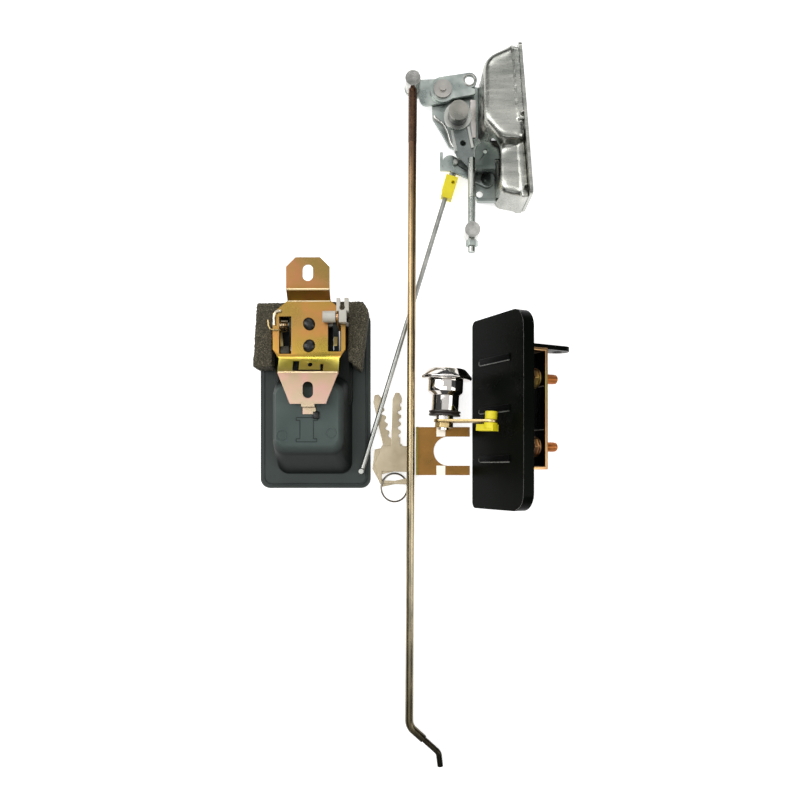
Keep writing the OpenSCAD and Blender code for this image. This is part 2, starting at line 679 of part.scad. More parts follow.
// Bracket: two fastening tabs stand above the plate that bridges the shallow part of the cup
plate_y0 = 24;
plate_y1 = 61;
tab_w = 27.5;
tab_y0 = 67;
tab_y1 = 87;
foot_w = 38.6;
foot_y0 = -5.5;
foot_y1 = 14.3;
top_slot_y = 77.3;
foot_slot_y = 3.3;
tab_top = cup_h + bracket_step + sheet_t;

// Sloping web between two levels, drawn in the y-z plane
module web(w, y0, z0, y1, z1) rotate([90, 0, 90]) translate([0, 0, -w / 2]) linear_extrude(w)
    polygon([[y0, z0], [y1, z1], [y1, z1 + sheet_t], [y0, z0 + sheet_t]]);

module bracket_plate() translate([0, 0, cup_h]) linear_extrude(sheet_t) difference() {
    polygon([[-foot_w / 2, plate_y0], [foot_w / 2, plate_y0], [bracket_w / 2, plate_y0 + 6],
             [bracket_w / 2, plate_y1 - 8], [tab_w / 2, plate_y1], [-tab_w / 2, plate_y1],
             [-bracket_w / 2, plate_y1 - 8], [-bracket_w / 2, plate_y0 + 6]]);
    for (y = post_ys) translate([0, y]) circle(post_r + 0.4);
    translate([-19.2, 27]) square([7.8, 24]);
    translate([12.1, 28.5]) square([8.4, 24.1]);
}
module inside_bracket() color(gold) at_inside() translate([bracket_x, 0, 0]) {
    bracket_plate();
    web(tab_w, plate_y1 - 0.2, cup_h, tab_y0 + 0.2, cup_h + bracket_step);
    translate([0, 0, cup_h + bracket_step]) linear_extrude(sheet_t) difference() {
        polygon([[-tab_w / 2, tab_y0], [tab_w / 2, tab_y0], [tab_w / 2, tab_y1 - 6],
                 [tab_w / 2 - 6, tab_y1], [-tab_w / 2 + 6, tab_y1], [-tab_w / 2, tab_y1 - 6]]);
        translate([0, top_slot_y]) slot_shape(slot_w, slot_l);
    }
    difference() {
        web(foot_w, foot_y1 - 0.2, cup_h + bracket_step, plate_y0 + 0.2, cup_h);
        translate([-10, foot_y1 + 1, 0]) cube([4, 7, 2 * cup_h]);
        translate([7.5, foot_y1 + 1, 0]) cube([2, 5, 2 * cup_h]);
        translate([-10, foot_y1 + 0.6, 0]) cube([19.5, 1.4, 2 * cup_h]);
        translate([1, foot_y1 + 5.5, 0]) cylinder(r = 1.5, h = 2 * cup_h);
    }
    translate([0, 0, cup_h + bracket_step]) linear_extrude(sheet_t) difference() {
        polygon([[-foot_w / 2, foot_y1], [foot_w / 2, foot_y1], [11.4, foot_y0], [-11.4, foot_y0]]);
        translate([0, foot_slot_y]) slot_shape(slot_w, slot_l);
    }
    // Bottom lug that stands on the back of the pocket
    translate([-4.2, foot_y0 - sheet_t + 0.2, cup_h]) cube([8.4, sheet_t, bracket_step + sheet_t]);
    translate([-4.2, foot_y0 - sheet_t - 4, cup_h]) cube([8.4, 4.4, 1.2]);
    // Side cheeks that carry the lever pin
    for (s = [-1, 1]) difference() {
        translate([s * (bracket_w - sheet_t) / 2 - sheet_t / 2, plate_y0 + 8, cup_low_h])
            cube([sheet_t, pivot_y - plate_y0 - 3, cup_h - cup_low_h + 0.5]);
        translate([s * bracket_w / 2 - 5, pivot_y, pivot_z]) rotate([0, 90, 0])
            cylinder(r = lever_pin_r + run_fit, h = 10);
    }
}

pin_len = bracket_w + 3;
module inside_lever_pin() color(steel) at_inside() translate([bracket_x - pin_len / 2, pivot_y, pivot_z]) {
    rotate([0, 90, 0]) cylinder(r = lever_pin_r, h = pin_len);
    rotate([0, 90, 0]) cylinder(r = lever_pin_r + 1.2, h = 1.1);
}

paddle_w = 38;
paddle_y0 = -27;
paddle_y1 = 33;
paddle_z = 4.6;
module inside_lever() color(black) at_inside() {
    translate([0, (paddle_y0 + paddle_y1) / 2, paddle_z]) linear_extrude(3.6)
        round_rect(paddle_w, paddle_y1 - paddle_y0, 5);
    translate([-paddle_w / 2 + 4, paddle_y0 + 1, paddle_z]) cube([paddle_w - 8, 3, 7]);
    for (x = lever_arm_xs) translate([x - lever_arm_t / 2, 0, 0]) upright() difference() {
        linear_extrude(lever_arm_t) {
            link_shape([pivot_y, pivot_z], [29, 10], 4.6, 4);
            translate([25, paddle_z]) square([8, 5]);
        }
        translate([pivot_y, pivot_z, -over])
            cylinder(r = lever_pin_r + run_fit, h = lever_arm_t + 2 * over);
    }
}

crank_t = 1.6;
crank_x = lever_arm_xs[1] + lever_arm_t / 2;
crank_y = pivot_y + 2.3;
crank_z = cup_h + sheet_t + 5.2;
crank_hole = 1.6;
crank_tip_r = 2.7;
module inside_crank() color(gold) at_inside() translate([crank_x, 0, 0]) upright() difference() {
    linear_extrude(crank_t) link_shape([pivot_y, pivot_z], [crank_y, crank_z], 4.2, crank_tip_r);
    translate([pivot_y, pivot_z, -over]) cylinder(r = lever_pin_r + run_fit, h = crank_t + 2 * over);
    translate([crank_y, crank_z, -over]) cylinder(r = crank_hole + run_fit, h = crank_t + 2 * over);
}

module rod_bush() color("white") at_inside() translate([crank_x, crank_y, crank_z]) {
    rotate([0, 90, 0]) translate([0, 0, -0.6]) cylinder(r = crank_hole, h = crank_t + 1);
    translate([-0.4, 0, 0]) rotate([0, -90, 0]) cylinder(r = 3.6, h = 8);
    translate([crank_t + 0.3, 0, 0]) difference() {
        union() {
            translate([0, -4, -2.6]) cube([4.6, 8, 5.8]);
            translate([-1.6, crank_tip_r + part_gap, -2.6]) cube([7.6, 8.4, 5.2]);
        }
        translate([0.6, 6, -5]) cube([2.8, 10, 10]);
        translate([2, 5.4, -5]) cylinder(r = 1.8, h = 10);
    }
}

// The spring fills the room between the left cheek and the left arm of the lever
inside_wire = 0.55;
inside_turns = 5;
inside_spring_x = bracket_x - bracket_w / 2 + sheet_t + part_gap + inside_wire;
inside_spring_end = lever_arm_xs[0] - lever_arm_t / 2 - part_gap - inside_wire;
inside_pitch = (inside_spring_end - inside_spring_x) / inside_turns;
module inside_spring() color(gold) at_inside() translate([inside_spring_x, pivot_y, pivot_z])
    rotate([0, 90, 0]) coil(lever_pin_r + inside_wire + 0.4, inside_wire, inside_turns, inside_pitch);

// Foam strip round the shallow part of the cup: two sides that meet behind the bracket
foam_y0 = 19.7;
foam_y1 = 61.5;
foam_in = cup_w / 2 + 0.4;
foam_top_y = cup_high_y + 1.6;
foam_meet = 0.4;
module foam_pad(side) translate([0, 0, flange_t + 0.1]) linear_extrude(foam_t) polygon(side);
module foam_pad_left() color("dimgray") at_inside() foam_pad([
    [-foam_in, foam_y0], [-38.5, foam_y0], [-36, foam_y1], [-foam_meet, foam_y1],
    [-foam_meet, foam_top_y], [-foam_in, foam_top_y]]);
module foam_pad_right() color("dimgray") at_inside() foam_pad([
    [foam_in, foam_top_y], [foam_meet, foam_top_y], [foam_meet, foam_y1], [33, foam_y1 + 1],
    [36.5, foam_y1 - 5], [31.8, foam_y0 - 1.5], [foam_in, foam_y0 + 2]]);

// Outside handle. In its own frame x runs up the grip from its low edge and z points out of its front
grip_z = grip_t * cos(grip_tilt) + 0.1;
module at_grip() translate([grip_x, grip_y, grip_z]) rotate([0, -grip_tilt, 0]) children();
grip_corner = 11.5;
hinge_x = 10;
hinge_z = -grip_t - 6;
yoke_y = 1.5;
yoke_x0 = 13;
yoke_x1 = 52;
fix_x = 42;
fix_y = -0.4;
fix_neck_r = fix_r - 0.25;
fix_relief = 0.6;
rib_ys = [-30, 2, 34];
ear_reach = yoke_l / 2 - sheet_t - part_gap;

module grip_outline(inset) {
    translate([grip_w / 2, 0]) round_rect(grip_w - 2 * inset, grip_l - 2 * inset, grip_corner - inset);
    translate([grip_w / 4, 0]) round_rect(grip_w / 2 - 2 * inset, grip_l - 2 * inset, 4 - inset);
}
// Lays a profile of the x-z plane with its thickness along y, ending at y
module across(y, t) translate([0, y, 0]) rotate([90, 0, 0]) linear_extrude(t) children();

module hinge_bore() translate([hinge_x, yoke_y + yoke_l / 2 + over, hinge_z]) rotate([90, 0, 0])
    cylinder(r = hinge_r + run_fit, h = yoke_l + 2 * over);

module outside_grip() color(black) at_grip() difference() {
    union() {
        difference() {
            translate([0, 0, -grip_lip]) linear_extrude(grip_lip) grip_outline(0);
            translate([0, 0, -grip_lip - over])
                linear_extrude(grip_lip + over - grip_t) grip_outline(grip_t);
            translate([-over, -grip_l, -grip_lip - over])
                cube([grip_t + 3 + over, 2 * grip_l, grip_lip + over - grip_t]);
        }
        for (y = rib_ys) translate([27.5, y, -0.5]) rotate([0, 0, 90])
            linear_extrude(1.3) slot_shape(3, 35);
        // Ears that ride on the hinge pin inside the bracket
        for (y = [yoke_y + ear_reach, yoke_y - ear_reach + grip_t]) across(y, grip_t) {
            translate([hinge_x, hinge_z]) circle(hinge_r + 2);
            translate([hinge_x - hinge_r - 2, hinge_z]) square([2 * hinge_r + 4, -hinge_z - grip_t / 2]);
        }
    }
    hinge_bore();
}

arm_x0 = 38;
arm_root_r = 8.5;
arm_y = yoke_y + yoke_l / 2 + part_gap + grip_t;
module grip_arm() color(black) at_grip() difference() {
    across(arm_y, grip_t) {
        translate([arm_x0 - arm_root_r, -grip_t - arm_root_r - over])
            square([2 * arm_root_r, arm_root_r + over]);
        link_shape([arm_x0, -grip_t - arm_root_r - over], [arm_x0, -arm_len + 7], arm_root_r, 7);
    }
    translate([arm_x0, arm_y + over, -arm_len + 8]) rotate([90, 0, 0])
        cylinder(r = arm_hole_r, h = grip_t + 2 * over);
}

module outside_bracket() color(gold) at_grip() difference() {
    union() {
        for (y = [yoke_y + yoke_l / 2, yoke_y - yoke_l / 2 + sheet_t]) across(y, sheet_t)
            polygon([[yoke_x0 + 2, -grip_t - part_gap], [yoke_x1, -grip_t - part_gap - 0.6],
                     [yoke_x1, -yoke_d], [yoke_x0, -yoke_d], [hinge_x - 4, hinge_z - 4],
                     [hinge_x - 5, hinge_z + 1], [hinge_x - 3.5, hinge_z + 3]]);
        translate([yoke_x0, yoke_y - yoke_l / 2, -yoke_d]) cube([yoke_x1 - yoke_x0, yoke_l, sheet_t]);
    }
    hinge_bore();
    for (s = [-1, 1]) translate([fix_x, fix_y + s * fix_pitch / 2, -yoke_d - over])
        cylinder(r = fix_neck_r + run_fit, h = sheet_t + 2 * over);
    translate([yoke_x0 + 12, fix_y, -yoke_d - over])
        linear_extrude(sheet_t + 2 * over) round_rect(12, 30, 3);
}

module hinge_pin() color(steel) at_grip()
    translate([hinge_x, yoke_y + yoke_l / 2 + part_gap * 0.5, hinge_z]) rotate([90, 0, 0]) {
        cylinder(r = hinge_r, h = yoke_l + 1.5);
        translate([0, 0, yoke_l + 0.4]) cylinder(r = hinge_r + 1.2, h = 1.4);
    }

grip_wire = 0.8;
module grip_spring() color(steel) at_grip() translate([hinge_x, yoke_y + 8, hinge_z]) rotate([90, 0, 0])
    coil(hinge_r + grip_wire + 0.3, grip_wire, 8, 1.9);

// Studs: a neck runs through the bracket and the nut, the free end has a relief beside the bracket
nut_h = 4.4;
module fixing_studs() color("chocolate") at_grip() for (s = [-1, 1])
    translate([fix_x, fix_y + s * fix_pitch / 2, -yoke_d - fix_len]) {
        cylinder(r = fix_neck_r, h = fix_len + sheet_t + nut_h + 2.5);
        cylinder(r = fix_r, h = fix_len - fix_relief);
        translate([0, 0, -0.8]) cylinder(r1 = fix_r - 0.8, r2 = fix_r, h = 0.8);
    }
module stud_nuts() color(gold) at_grip() for (s = [-1, 1])
    translate([fix_x, fix_y + s * fix_pitch / 2, -yoke_d + sheet_t]) difference() {
        union() {
            cylinder(r = fix_r + 3.4, h = 1.2);
            translate([0, 0, 1.2]) cylinder(r = fix_r + 2.6, h = nut_h - 1.2, $fn = 6);
        }
        translate([0, 0, -over]) cylinder(r = fix_neck_r + run_fit, h = nut_h + 2 * over);
    }

// Lock cylinder. Its axis lies along y with the cap at the top; heights count from the shoulder of the cap
lock_turn = -3;
lock_z = cap_r + 0.1;
module at_lock() translate([lock_x, lock_y, lock_z]) rotate([0, 0, lock_turn]) children();
module turned() at_lock() rotate([-90, 0, 0]) children();
body_l = 8;
taper_l = 2.6;
neck_end = -body_l - taper_l - neck_l;
ring_h = 3.2;
cap_face_r = 11.9;
tail_r = 3.5;
cam_t = 1.8;
cam_top = neck_end - ring_h - part_gap - 2;
bore_r = plug_r + run_fit;

module lock_cap() color("gainsboro") turned() rotate_extrude()
    polygon([[bore_r, 0], [cap_r - 0.8, 0], [cap_r, 0.8], [cap_r, 1.8], [cap_face_r + 1, cap_h - 0.8],
             [cap_face_r, cap_h], [cap_face_r - 1.5, cap_h - 0.9], [bore_r, cap_h - 0.9]]);
module lock_body() color("gainsboro") difference() {
    turned() rotate_extrude() polygon([[bore_r, neck_end], [neck_r, neck_end], [neck_r, -body_l - taper_l],
        [lock_r, -body_l], [lock_r, 0], [bore_r, 0]]);
    at_lock() translate([lock_r - 1.4, -body_l - taper_l, -30]) cube([10, body_l + taper_l - 1, 60]);
}
module lock_ring() color("black") turned() rotate_extrude() {
    r = neck_r + 1.4;
    polygon([[bore_r, neck_end - ring_h], [r, neck_end - ring_h], [r, neck_end - ring_h * 0.65],
             [r - 1, neck_end - ring_h * 0.5], [r, neck_end - ring_h * 0.35], [r, neck_end],
             [bore_r, neck_end]]);
}
module lock_plug() color("silver") difference() {
    turned() rotate_extrude() polygon([[0, cap_h - 1.4], [plug_r, cap_h - 1.4], [plug_r, cam_top],
        [tail_r, cam_top], [tail_r, cam_top - cam_t - 5], [0, cam_top - cam_t - 5]]);
    at_lock() translate([-0.9, -4, -3.6]) cube([1.8, cap_h + 4, 7.2]);
}
cam_dir = unit(cam_angle);
module lock_cam() color(gold) at_lock() translate([0, cam_top, 0]) rotate([90, 0, 0]) difference() {
    linear_extrude(cam_t) link_shape([0, 0], cam_len * cam_dir, 7, 4.4);
    translate([0, 0, -over]) cylinder(r = tail_r + run_fit, h = cam_t + 2 * over);
    translate([cam_len * cam_dir[0], cam_len * cam_dir[1], -over])
        cylinder(r = clip_pin_r + run_fit, h = cam_t + 2 * over);
}
module cam_nut() color(gold) at_lock() translate([0, cam_top - cam_t - part_gap * 0.25, 0])
    rotate([90, 0, 0]) difference() {
    cylinder(r = tail_r + 2.6, h = 3.4, $fn = 6);
    translate([0, 0, -over]) cylinder(r = tail_r + run_fit, h = 10);
}
clip_pin_r = 2.2;
module cam_clip() color(yellow) at_lock() translate([cam_len * cam_dir[0], cam_top, cam_len * cam_dir[1]]) {
    rotate([90, 0, 0]) translate([0, 0, -1]) cylinder(r = clip_pin_r, h = cam_t + 2);
    rotate([-90, 0, 0]) translate([0, 0, 0.2]) cylinder(r = 3.8, h = 5);
    translate([0, -cam_t - 0.2, 0]) rotate([90, 0, 0]) cylinder(r = 4.2, h = 3.6);
    rotate([0, -cam_angle, 0]) translate([-9, -cam_t - 5.4, -3]) cube([13, 4.2, 6]);
}

// Retaining clip: a fork that slides over the lower body of the lock from the side
fork_lip = 5.5;
fork_eye = neck_r + fork_fit;
fork_eye_x = fork_l - 14.6;
module retaining_clip() color("peru") translate([fork_x, fork_y, 0]) {
    linear_extrude(fork_t) difference() {
        translate([0, -fork_w / 2]) square([fork_l, fork_w]);
        translate([fork_eye_x, 0]) circle(fork_eye);
        translate([fork_eye_x, -fork_eye]) square([fork_l, 2 * fork_eye]);
    }
    translate([0, -fork_w / 2, 0]) cube([fork_t, fork_w, fork_lip]);
    for (y = [fork_eye, -fork_w / 2]) translate([fork_eye_x - 8, y, fork_t - 0.2])
        cube([6, fork_w / 2 - fork_eye, 0.9]);
}

// Keys: a hexagonal bow with a ring slot, and a blade with its cuts on one edge
key_slot_w = 17;
key_slot_h = 6.2;
bow_low = -key_slot_h / 2 - 2.2;
bow_high = 20.5;
blade_end = bow_high + key_blade_l;
rear_turn = 12.5;
front_turn = -2;
key_gap = 0.25;
key_fall = 2.5;
key_lift = 2 * ring_wire_r + 1.3;
cut_depths = [1.2, 2, 1.5, 2.3, 1.1];
cut_pitch = 5.2;
module key() rotate([-key_fall, 0, 0]) linear_extrude(key_t) difference() {
    union() {
        polygon([[-key_bow_w * 0.36, bow_low], [key_bow_w * 0.36, bow_low], [key_bow_w / 2, 8],
                 [key_bow_w * 0.34, bow_high], [-key_bow_w * 0.34, bow_high], [-key_bow_w / 2, 8]]);
        polygon([[-key_blade_w / 2, bow_high - 1], [key_blade_w / 2, bow_high - 1],
                 [key_blade_w / 2, blade_end - 3.6], [key_blade_w * 0.22, blade_end],
                 [-key_blade_w * 0.22, blade_end], [-key_blade_w / 2, blade_end - 4.6]]);
    }
    square([key_slot_w, key_slot_h], center = true);
    for (i = [0:len(cut_depths) - 1]) translate([key_blade_w / 2, bow_high + 7 + i * cut_pitch])
        polygon([[-cut_depths[i], -0.6], [-cut_depths[i], 0.6], [0.1, 2], [0.1, -2]]);
}
module at_keys(z, a) translate([keys_x, keys_y, z]) rotate([0, 0, a]) children();
module key_rear() color("tan") at_keys(key_lift, rear_turn) key();
module key_front() color("tan") at_keys(key_lift + key_t + key_gap, front_turn) key();

ring_tilt = 22;
ring_z = key_lift + key_t + 0.1;
module key_ring() color("silver") translate([keys_x, keys_y + 1.9 - ring_r, ring_z])
    rotate([0, ring_tilt, 0]) rotate_extrude() translate([ring_r, 0]) circle(ring_wire_r);

latch_case();
face_plate();
rotor();
rotor_pin();
rotor_spring();
pawl();
pawl_tab();
pawl_pin();
pawl_spring();
lever_plate();
main_stud();
release_lever();
lower_swivel();
swivel_nut();
rod_lever();
eye_plate();
rod_lever_rivet();
upper_swivel();
lock_lever();
lock_lever_rivet();
rod_clip();
long_rod();
thin_rod();
inside_cup();
inside_bracket();
foam_pad_left();
foam_pad_right();
inside_lever();
inside_lever_pin();
inside_crank();
inside_spring();
rod_bush();
outside_grip();
grip_arm();
outside_bracket();
hinge_pin();
grip_spring();
fixing_studs();
stud_nuts();
lock_cap();
lock_body();
lock_plug();
lock_ring();
lock_cam();
cam_nut();
cam_clip();
retaining_clip();
key_front();
key_rear();
key_ring();
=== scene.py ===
import math
import bpy
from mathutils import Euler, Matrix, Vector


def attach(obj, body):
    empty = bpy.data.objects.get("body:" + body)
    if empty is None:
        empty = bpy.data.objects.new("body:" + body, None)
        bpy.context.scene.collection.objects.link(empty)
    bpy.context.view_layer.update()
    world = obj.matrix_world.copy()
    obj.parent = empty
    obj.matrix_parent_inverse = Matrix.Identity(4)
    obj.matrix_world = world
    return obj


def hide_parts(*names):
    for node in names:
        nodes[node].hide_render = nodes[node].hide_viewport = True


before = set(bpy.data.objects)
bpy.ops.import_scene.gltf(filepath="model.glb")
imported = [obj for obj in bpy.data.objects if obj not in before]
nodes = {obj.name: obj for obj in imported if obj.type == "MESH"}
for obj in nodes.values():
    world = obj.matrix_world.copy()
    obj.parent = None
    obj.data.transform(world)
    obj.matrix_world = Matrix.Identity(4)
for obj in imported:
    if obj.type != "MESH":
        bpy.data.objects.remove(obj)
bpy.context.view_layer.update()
print("frame loaded:", len(nodes), "pieces")


# colours are given from 0 to 255 and turned into linear light
def tone(r, g, b):
    def linear(v):
        v = v / 255
        return v / 12.92 if v <= 0.04045 else ((v + 0.055) / 1.055) ** 2.4
    return (linear(r), linear(g), linear(b), 1)


def mm(*v):
    return tuple(x / 1000 for x in v)


def newFinish(name):
    mat = bpy.data.materials.new(name)
    mat.use_nodes = True
    tree = mat.node_tree
    shader = tree.nodes["Principled BSDF"]
    return mat, tree, shader


def add(tree, kind, **values):
    node = tree.nodes.new(kind)
    for key, value in values.items():
        if key in node.inputs:
            node.inputs[key].default_value = value
        else:
            setattr(node, key, value)
    return node


def coords(tree, scale=(1, 1, 1), place=(0, 0, 0)):
    where = add(tree, "ShaderNodeTexCoord")
    mapping = add(tree, "ShaderNodeMapping", Scale=scale, Location=place)
    tree.links.new(where.outputs["Object"], mapping.inputs["Vector"])
    return mapping.outputs["Vector"]


def noise(tree, vector, scale, detail=3, rough=0.5):
    n = add(tree, "ShaderNodeTexNoise", Scale=scale, Detail=detail, Roughness=rough)
    tree.links.new(vector, n.inputs["Vector"])
    return n.outputs["Fac"]


def ramp(tree, fac, stops):
    r = add(tree, "ShaderNodeValToRGB")
    bar = r.color_ramp.elements
    while len(bar) < len(stops):
        bar.new(0.5)
    for element, (at, colour) in zip(bar, stops):
        element.position = at
        element.color = tone(*colour)
    tree.links.new(fac, r.inputs["Fac"])
    return r.outputs["Color"]


def spread(tree, fac, low, high, start=0.3, end=0.7):
    m = add(tree, "ShaderNodeMapRange")
    m.inputs["From Min"].default_value = start
    m.inputs["From Max"].default_value = end
    m.inputs["To Min"].default_value = low
    m.inputs["To Max"].default_value = high
    tree.links.new(fac, m.inputs["Value"])
    return m.outputs["Result"]


# 0 to 1 along one direction of the set, between two places in millimetres
def along(tree, axis, low, high):
    split = add(tree, "ShaderNodeSeparateXYZ")
    tree.links.new(coords(tree), split.inputs["Vector"])
    return spread(tree, split.outputs[axis], 0, 1, low / 1000, high / 1000)


def overlay(tree, base, tint, depth):
    mix = add(tree, "ShaderNodeMix", data_type="RGBA", blend_type="OVERLAY")
    mix.inputs[0].default_value = depth
    tree.links.new(base, mix.inputs[6])
    tree.links.new(tint, mix.inputs[7])
    return mix.outputs[2]


def bump(tree, shader, height, strength, depth):
    b = add(tree, "ShaderNodeBump", Strength=strength, Distance=depth)
    tree.links.new(height, b.inputs["Height"])
    tree.links.new(b.outputs["Normal"], shader.inputs["Normal"])


# a dark and a light shade, as the two stops of a ramp
def shades(dark, light, edge=0.3):
    return [(edge, dark), (1 - edge, light)]


# plated, painted and moulded finishes: colour over slow patches, grain over fine ones, gloss over either
def plated(name, stops, patch, rough, metal=1, grain=(1, 1, 1), grainScale=900, grainBump=0.04,
           patchScale=(1, 1, 1), shine=0.5):
    mat, tree, shader = newFinish(name)
    slow = noise(tree, coords(tree, patchScale), patch)
    tree.links.new(ramp(tree, slow, stops), shader.inputs["Base Color"])
    fine = noise(tree, coords(tree, grain), grainScale)
    brushed = grain != (1, 1, 1)
    tree.links.new(spread(tree, fine if brushed else slow, *rough), shader.inputs["Roughness"])
    if grainBump:
        bump(tree, shader, fine, grainBump, 0.0001)
    shader.inputs["Metallic"].default_value = metal
    shader.inputs["Specular IOR Level"].default_value = shine
    return mat


# latch and rods
zincCase = plated("zincCase", shades((138, 140, 134), (192, 192, 184), 0.32), 60, (0.24, 0.34),
                  grain=(0.3, 4, 0.3), patchScale=(0.4, 3, 0.4))
zincLever = plated("zincLever", shades((138, 148, 144), (190, 196, 190), 0.32), 90, (0.24, 0.38))
zincRod = plated("zincRod", shades((150, 152, 148), (188, 188, 182)), 120, (0.3, 0.42))
pinSteel = plated("pinSteel", shades((120, 120, 118), (165, 165, 160)), 140, (0.3, 0.5))
# a darker copy of the zinc, as painted shade on the pawl tab and the lock lever rivet
tabZincShaded = plated("tabZincShaded", shades((80, 88, 83), (118, 126, 120), 0.32), 70, (0.2, 0.3), grainBump=0)
washerZinc = plated("washerZinc", shades((160, 158, 152), (184, 180, 174), 0.32), 70, (0.26, 0.36),
                    grainBump=0)
swivelZinc = plated("swivelZinc", shades((150, 150, 146), (206, 204, 198), 0.32), 160, (0.12, 0.24),
                    grainBump=0)
threadBrown = plated("threadBrown", shades((66, 48, 40), (104, 78, 60)), 200, (0.4, 0.55), metal=0.8)
# inside handle
goldPatches = [(0.3, (186, 150, 84)), (0.44, (206, 164, 98)), (0.54, (212, 164, 124)),
               (0.64, (206, 172, 106)), (0.76, (190, 176, 96))]
goldZinc = plated("goldZinc", goldPatches, 26, (0.27, 0.32), grainBump=0)
# a pale copy of the gold, as painted highlight on the rolled bends
bendHighlight = plated("bendHighlight", shades((232, 208, 158), (246, 228, 190)), 60, (0.25, 0.34), grainBump=0)
# pale gold of the window strips, made lighter still as painted light where the bracket shades them
stripPaleLit = plated("stripPaleLit", shades((206, 188, 118), (234, 220, 160)), 90, (0.3, 0.4), metal=0.4,
                   grainBump=0)
springWire = plated("springWire", shades((190, 176, 146), (230, 218, 192)), 200, (0.2, 0.3), grainBump=0)
nylonWhite = plated("nylonWhite", shades((180, 176, 164), (206, 202, 192)), 80, (0.4, 0.55), metal=0)
cupPlastic = plated("cupPlastic", shades((36, 43, 42), (46, 54, 52)), 40, (0.4, 0.5), metal=0,
                    grainBump=0.1, grainScale=1400, shine=0.3)
stakeBlack = plated("stakeBlack", shades((12, 12, 11), (24, 23, 20)), 300, (0.25, 0.4), metal=0, shine=0.4)
blockGrey = plated("blockGrey", shades((92, 92, 82), (132, 128, 112)), 400, (0.5, 0.7), metal=0,
                   grainBump=0.3)
# outside handle
gripPaint = plated("gripPaint", shades((6, 9, 6), (11, 14, 10)), 30, (0.24, 0.32), metal=0,
                   grainBump=0, shine=0.025)
# a darker, duller black than the grip, as painted shadow on the ribs
ribShade = plated("ribShade", shades((3, 5, 4), (7, 9, 8)), 60, (0.3, 0.4), metal=0,
                  grainBump=0, shine=0.02)
# a lighter grey with more gloss, as painted highlight along the rib edges and the lip
edgeHighlight = plated("edgeHighlight", shades((48, 50, 46), (96, 98, 92)), 160, (0.22, 0.32), metal=0,
                  grainBump=0, shine=0.6)
studCopper = plated("studCopper", shades((150, 88, 42), (190, 120, 64)), 120, (0.28, 0.42))
# lock, clips and keys
chromeBright = plated("chromeBright", shades((202, 197, 191), (222, 217, 211)), 40, (0.05, 0.1),
                      grainBump=0.01)
sealBlack = plated("sealBlack", shades((30, 27, 24), (58, 50, 42)), 120, (0.35, 0.5), metal=0)
camBrass = plated("camBrass", shades((186, 160, 106), (216, 192, 140)), 90, (0.25, 0.38))
yellowPlastic = plated("yellowPlastic", shades((214, 196, 8), (238, 222, 24)), 80, (0.35, 0.5), metal=0)
keyNickel = plated("keyNickel", shades((150, 138, 114), (184, 172, 148)), 70, (0.3, 0.42))
ringSteel = plated("ringSteel", shades((84, 80, 72), (140, 134, 122)), 200, (0.16, 0.26), grainBump=0)

# a finish that changes along one direction of the set: stops are (millimetres, colour)
greyTint = shades((120, 128, 122), (236, 228, 226), 0.32)
rainbowTint = [(0.34, (150, 176, 96)), (0.46, (188, 178, 150)), (0.56, (226, 168, 186)),
               (0.66, (196, 186, 140))]


def placed(name, axis, stops, rough, metal=1, patch=80, depth=0.35, shine=0.5, tints=greyTint):
    mat, tree, shader = newFinish(name)
    low, high = stops[0][0], stops[-1][0]
    shares = [((at - low) / (high - low), colour) for at, colour in stops]
    base = ramp(tree, along(tree, axis, low, high), shares)
    cloud = noise(tree, coords(tree), patch)
    tree.links.new(overlay(tree, base, ramp(tree, cloud, tints), depth), shader.inputs["Base Color"])
    tree.links.new(spread(tree, cloud, *rough), shader.inputs["Roughness"])
    shader.inputs["Metallic"].default_value = metal
    shader.inputs["Specular IOR Level"].default_value = shine
    return mat


# painted shade by height: the stud is darkened under its head, the lever in its channel and the lever plate
# below its flat top, and their tops are painted lighter
studShadeStops = [(8, (150, 158, 154)), (20, (188, 194, 190)), (22, (40, 44, 44)), (27, (52, 56, 56)),
             (29, (128, 128, 122)), (30, (152, 151, 144))]
studZincShaded = placed("studZincShaded", "Z", studShadeStops, (0.24, 0.36))
leverShadeStops = [(17, (84, 90, 89)), (19.4, (122, 129, 127)), (19.7, (142, 148, 145)), (20.8, (176, 180, 175)),
              (22, (196, 198, 192))]
leverZincShaded = placed("leverZincShaded", "Z", leverShadeStops, (0.22, 0.34))
plateShadeStops = [(6, (112, 119, 117)), (8.1, (158, 166, 162)), (13, (122, 128, 126)), (15.6, (196, 190, 186)),
              (16, (200, 194, 190))]
plateZincShaded = placed("plateZincShaded", "Z", plateShadeStops, (0.26, 0.4))
# the bracket goes from coppery at the tab over gold to a pale foot, with a yellow-green bend
bracketStops = [(0, (165, 150, 135)), (26, (163, 144, 124)), (27.5, (250, 228, 118)), (35, (252, 234, 112)),
                (38, (170, 142, 66)), (48, (163, 132, 69)), (60, (162, 127, 75)), (72, (161, 131, 69)),
                (78, (150, 115, 57)), (82, (161, 125, 79)), (99, (162, 128, 84))]
bracketZinc = placed("bracketZinc", "Y", bracketStops, (0.25, 0.32), patch=34, tints=rainbowTint)
# painted light and shade: the cup is painted lighter on its back and on the flange, and darker on the drawn
# sides between
cupShadeStops = [(0, (62, 69, 66)), (3.6, (62, 69, 66)), (5, (20, 25, 23)), (25, (21, 26, 24)), (29, (70, 79, 76)),
            (30, (78, 89, 86)), (34, (30, 36, 35))]
cupSkinShaded = placed("cupSkinShaded", "Z", cupShadeStops, (0.4, 0.5), metal=0, patch=40, depth=0.2, shine=0.15)
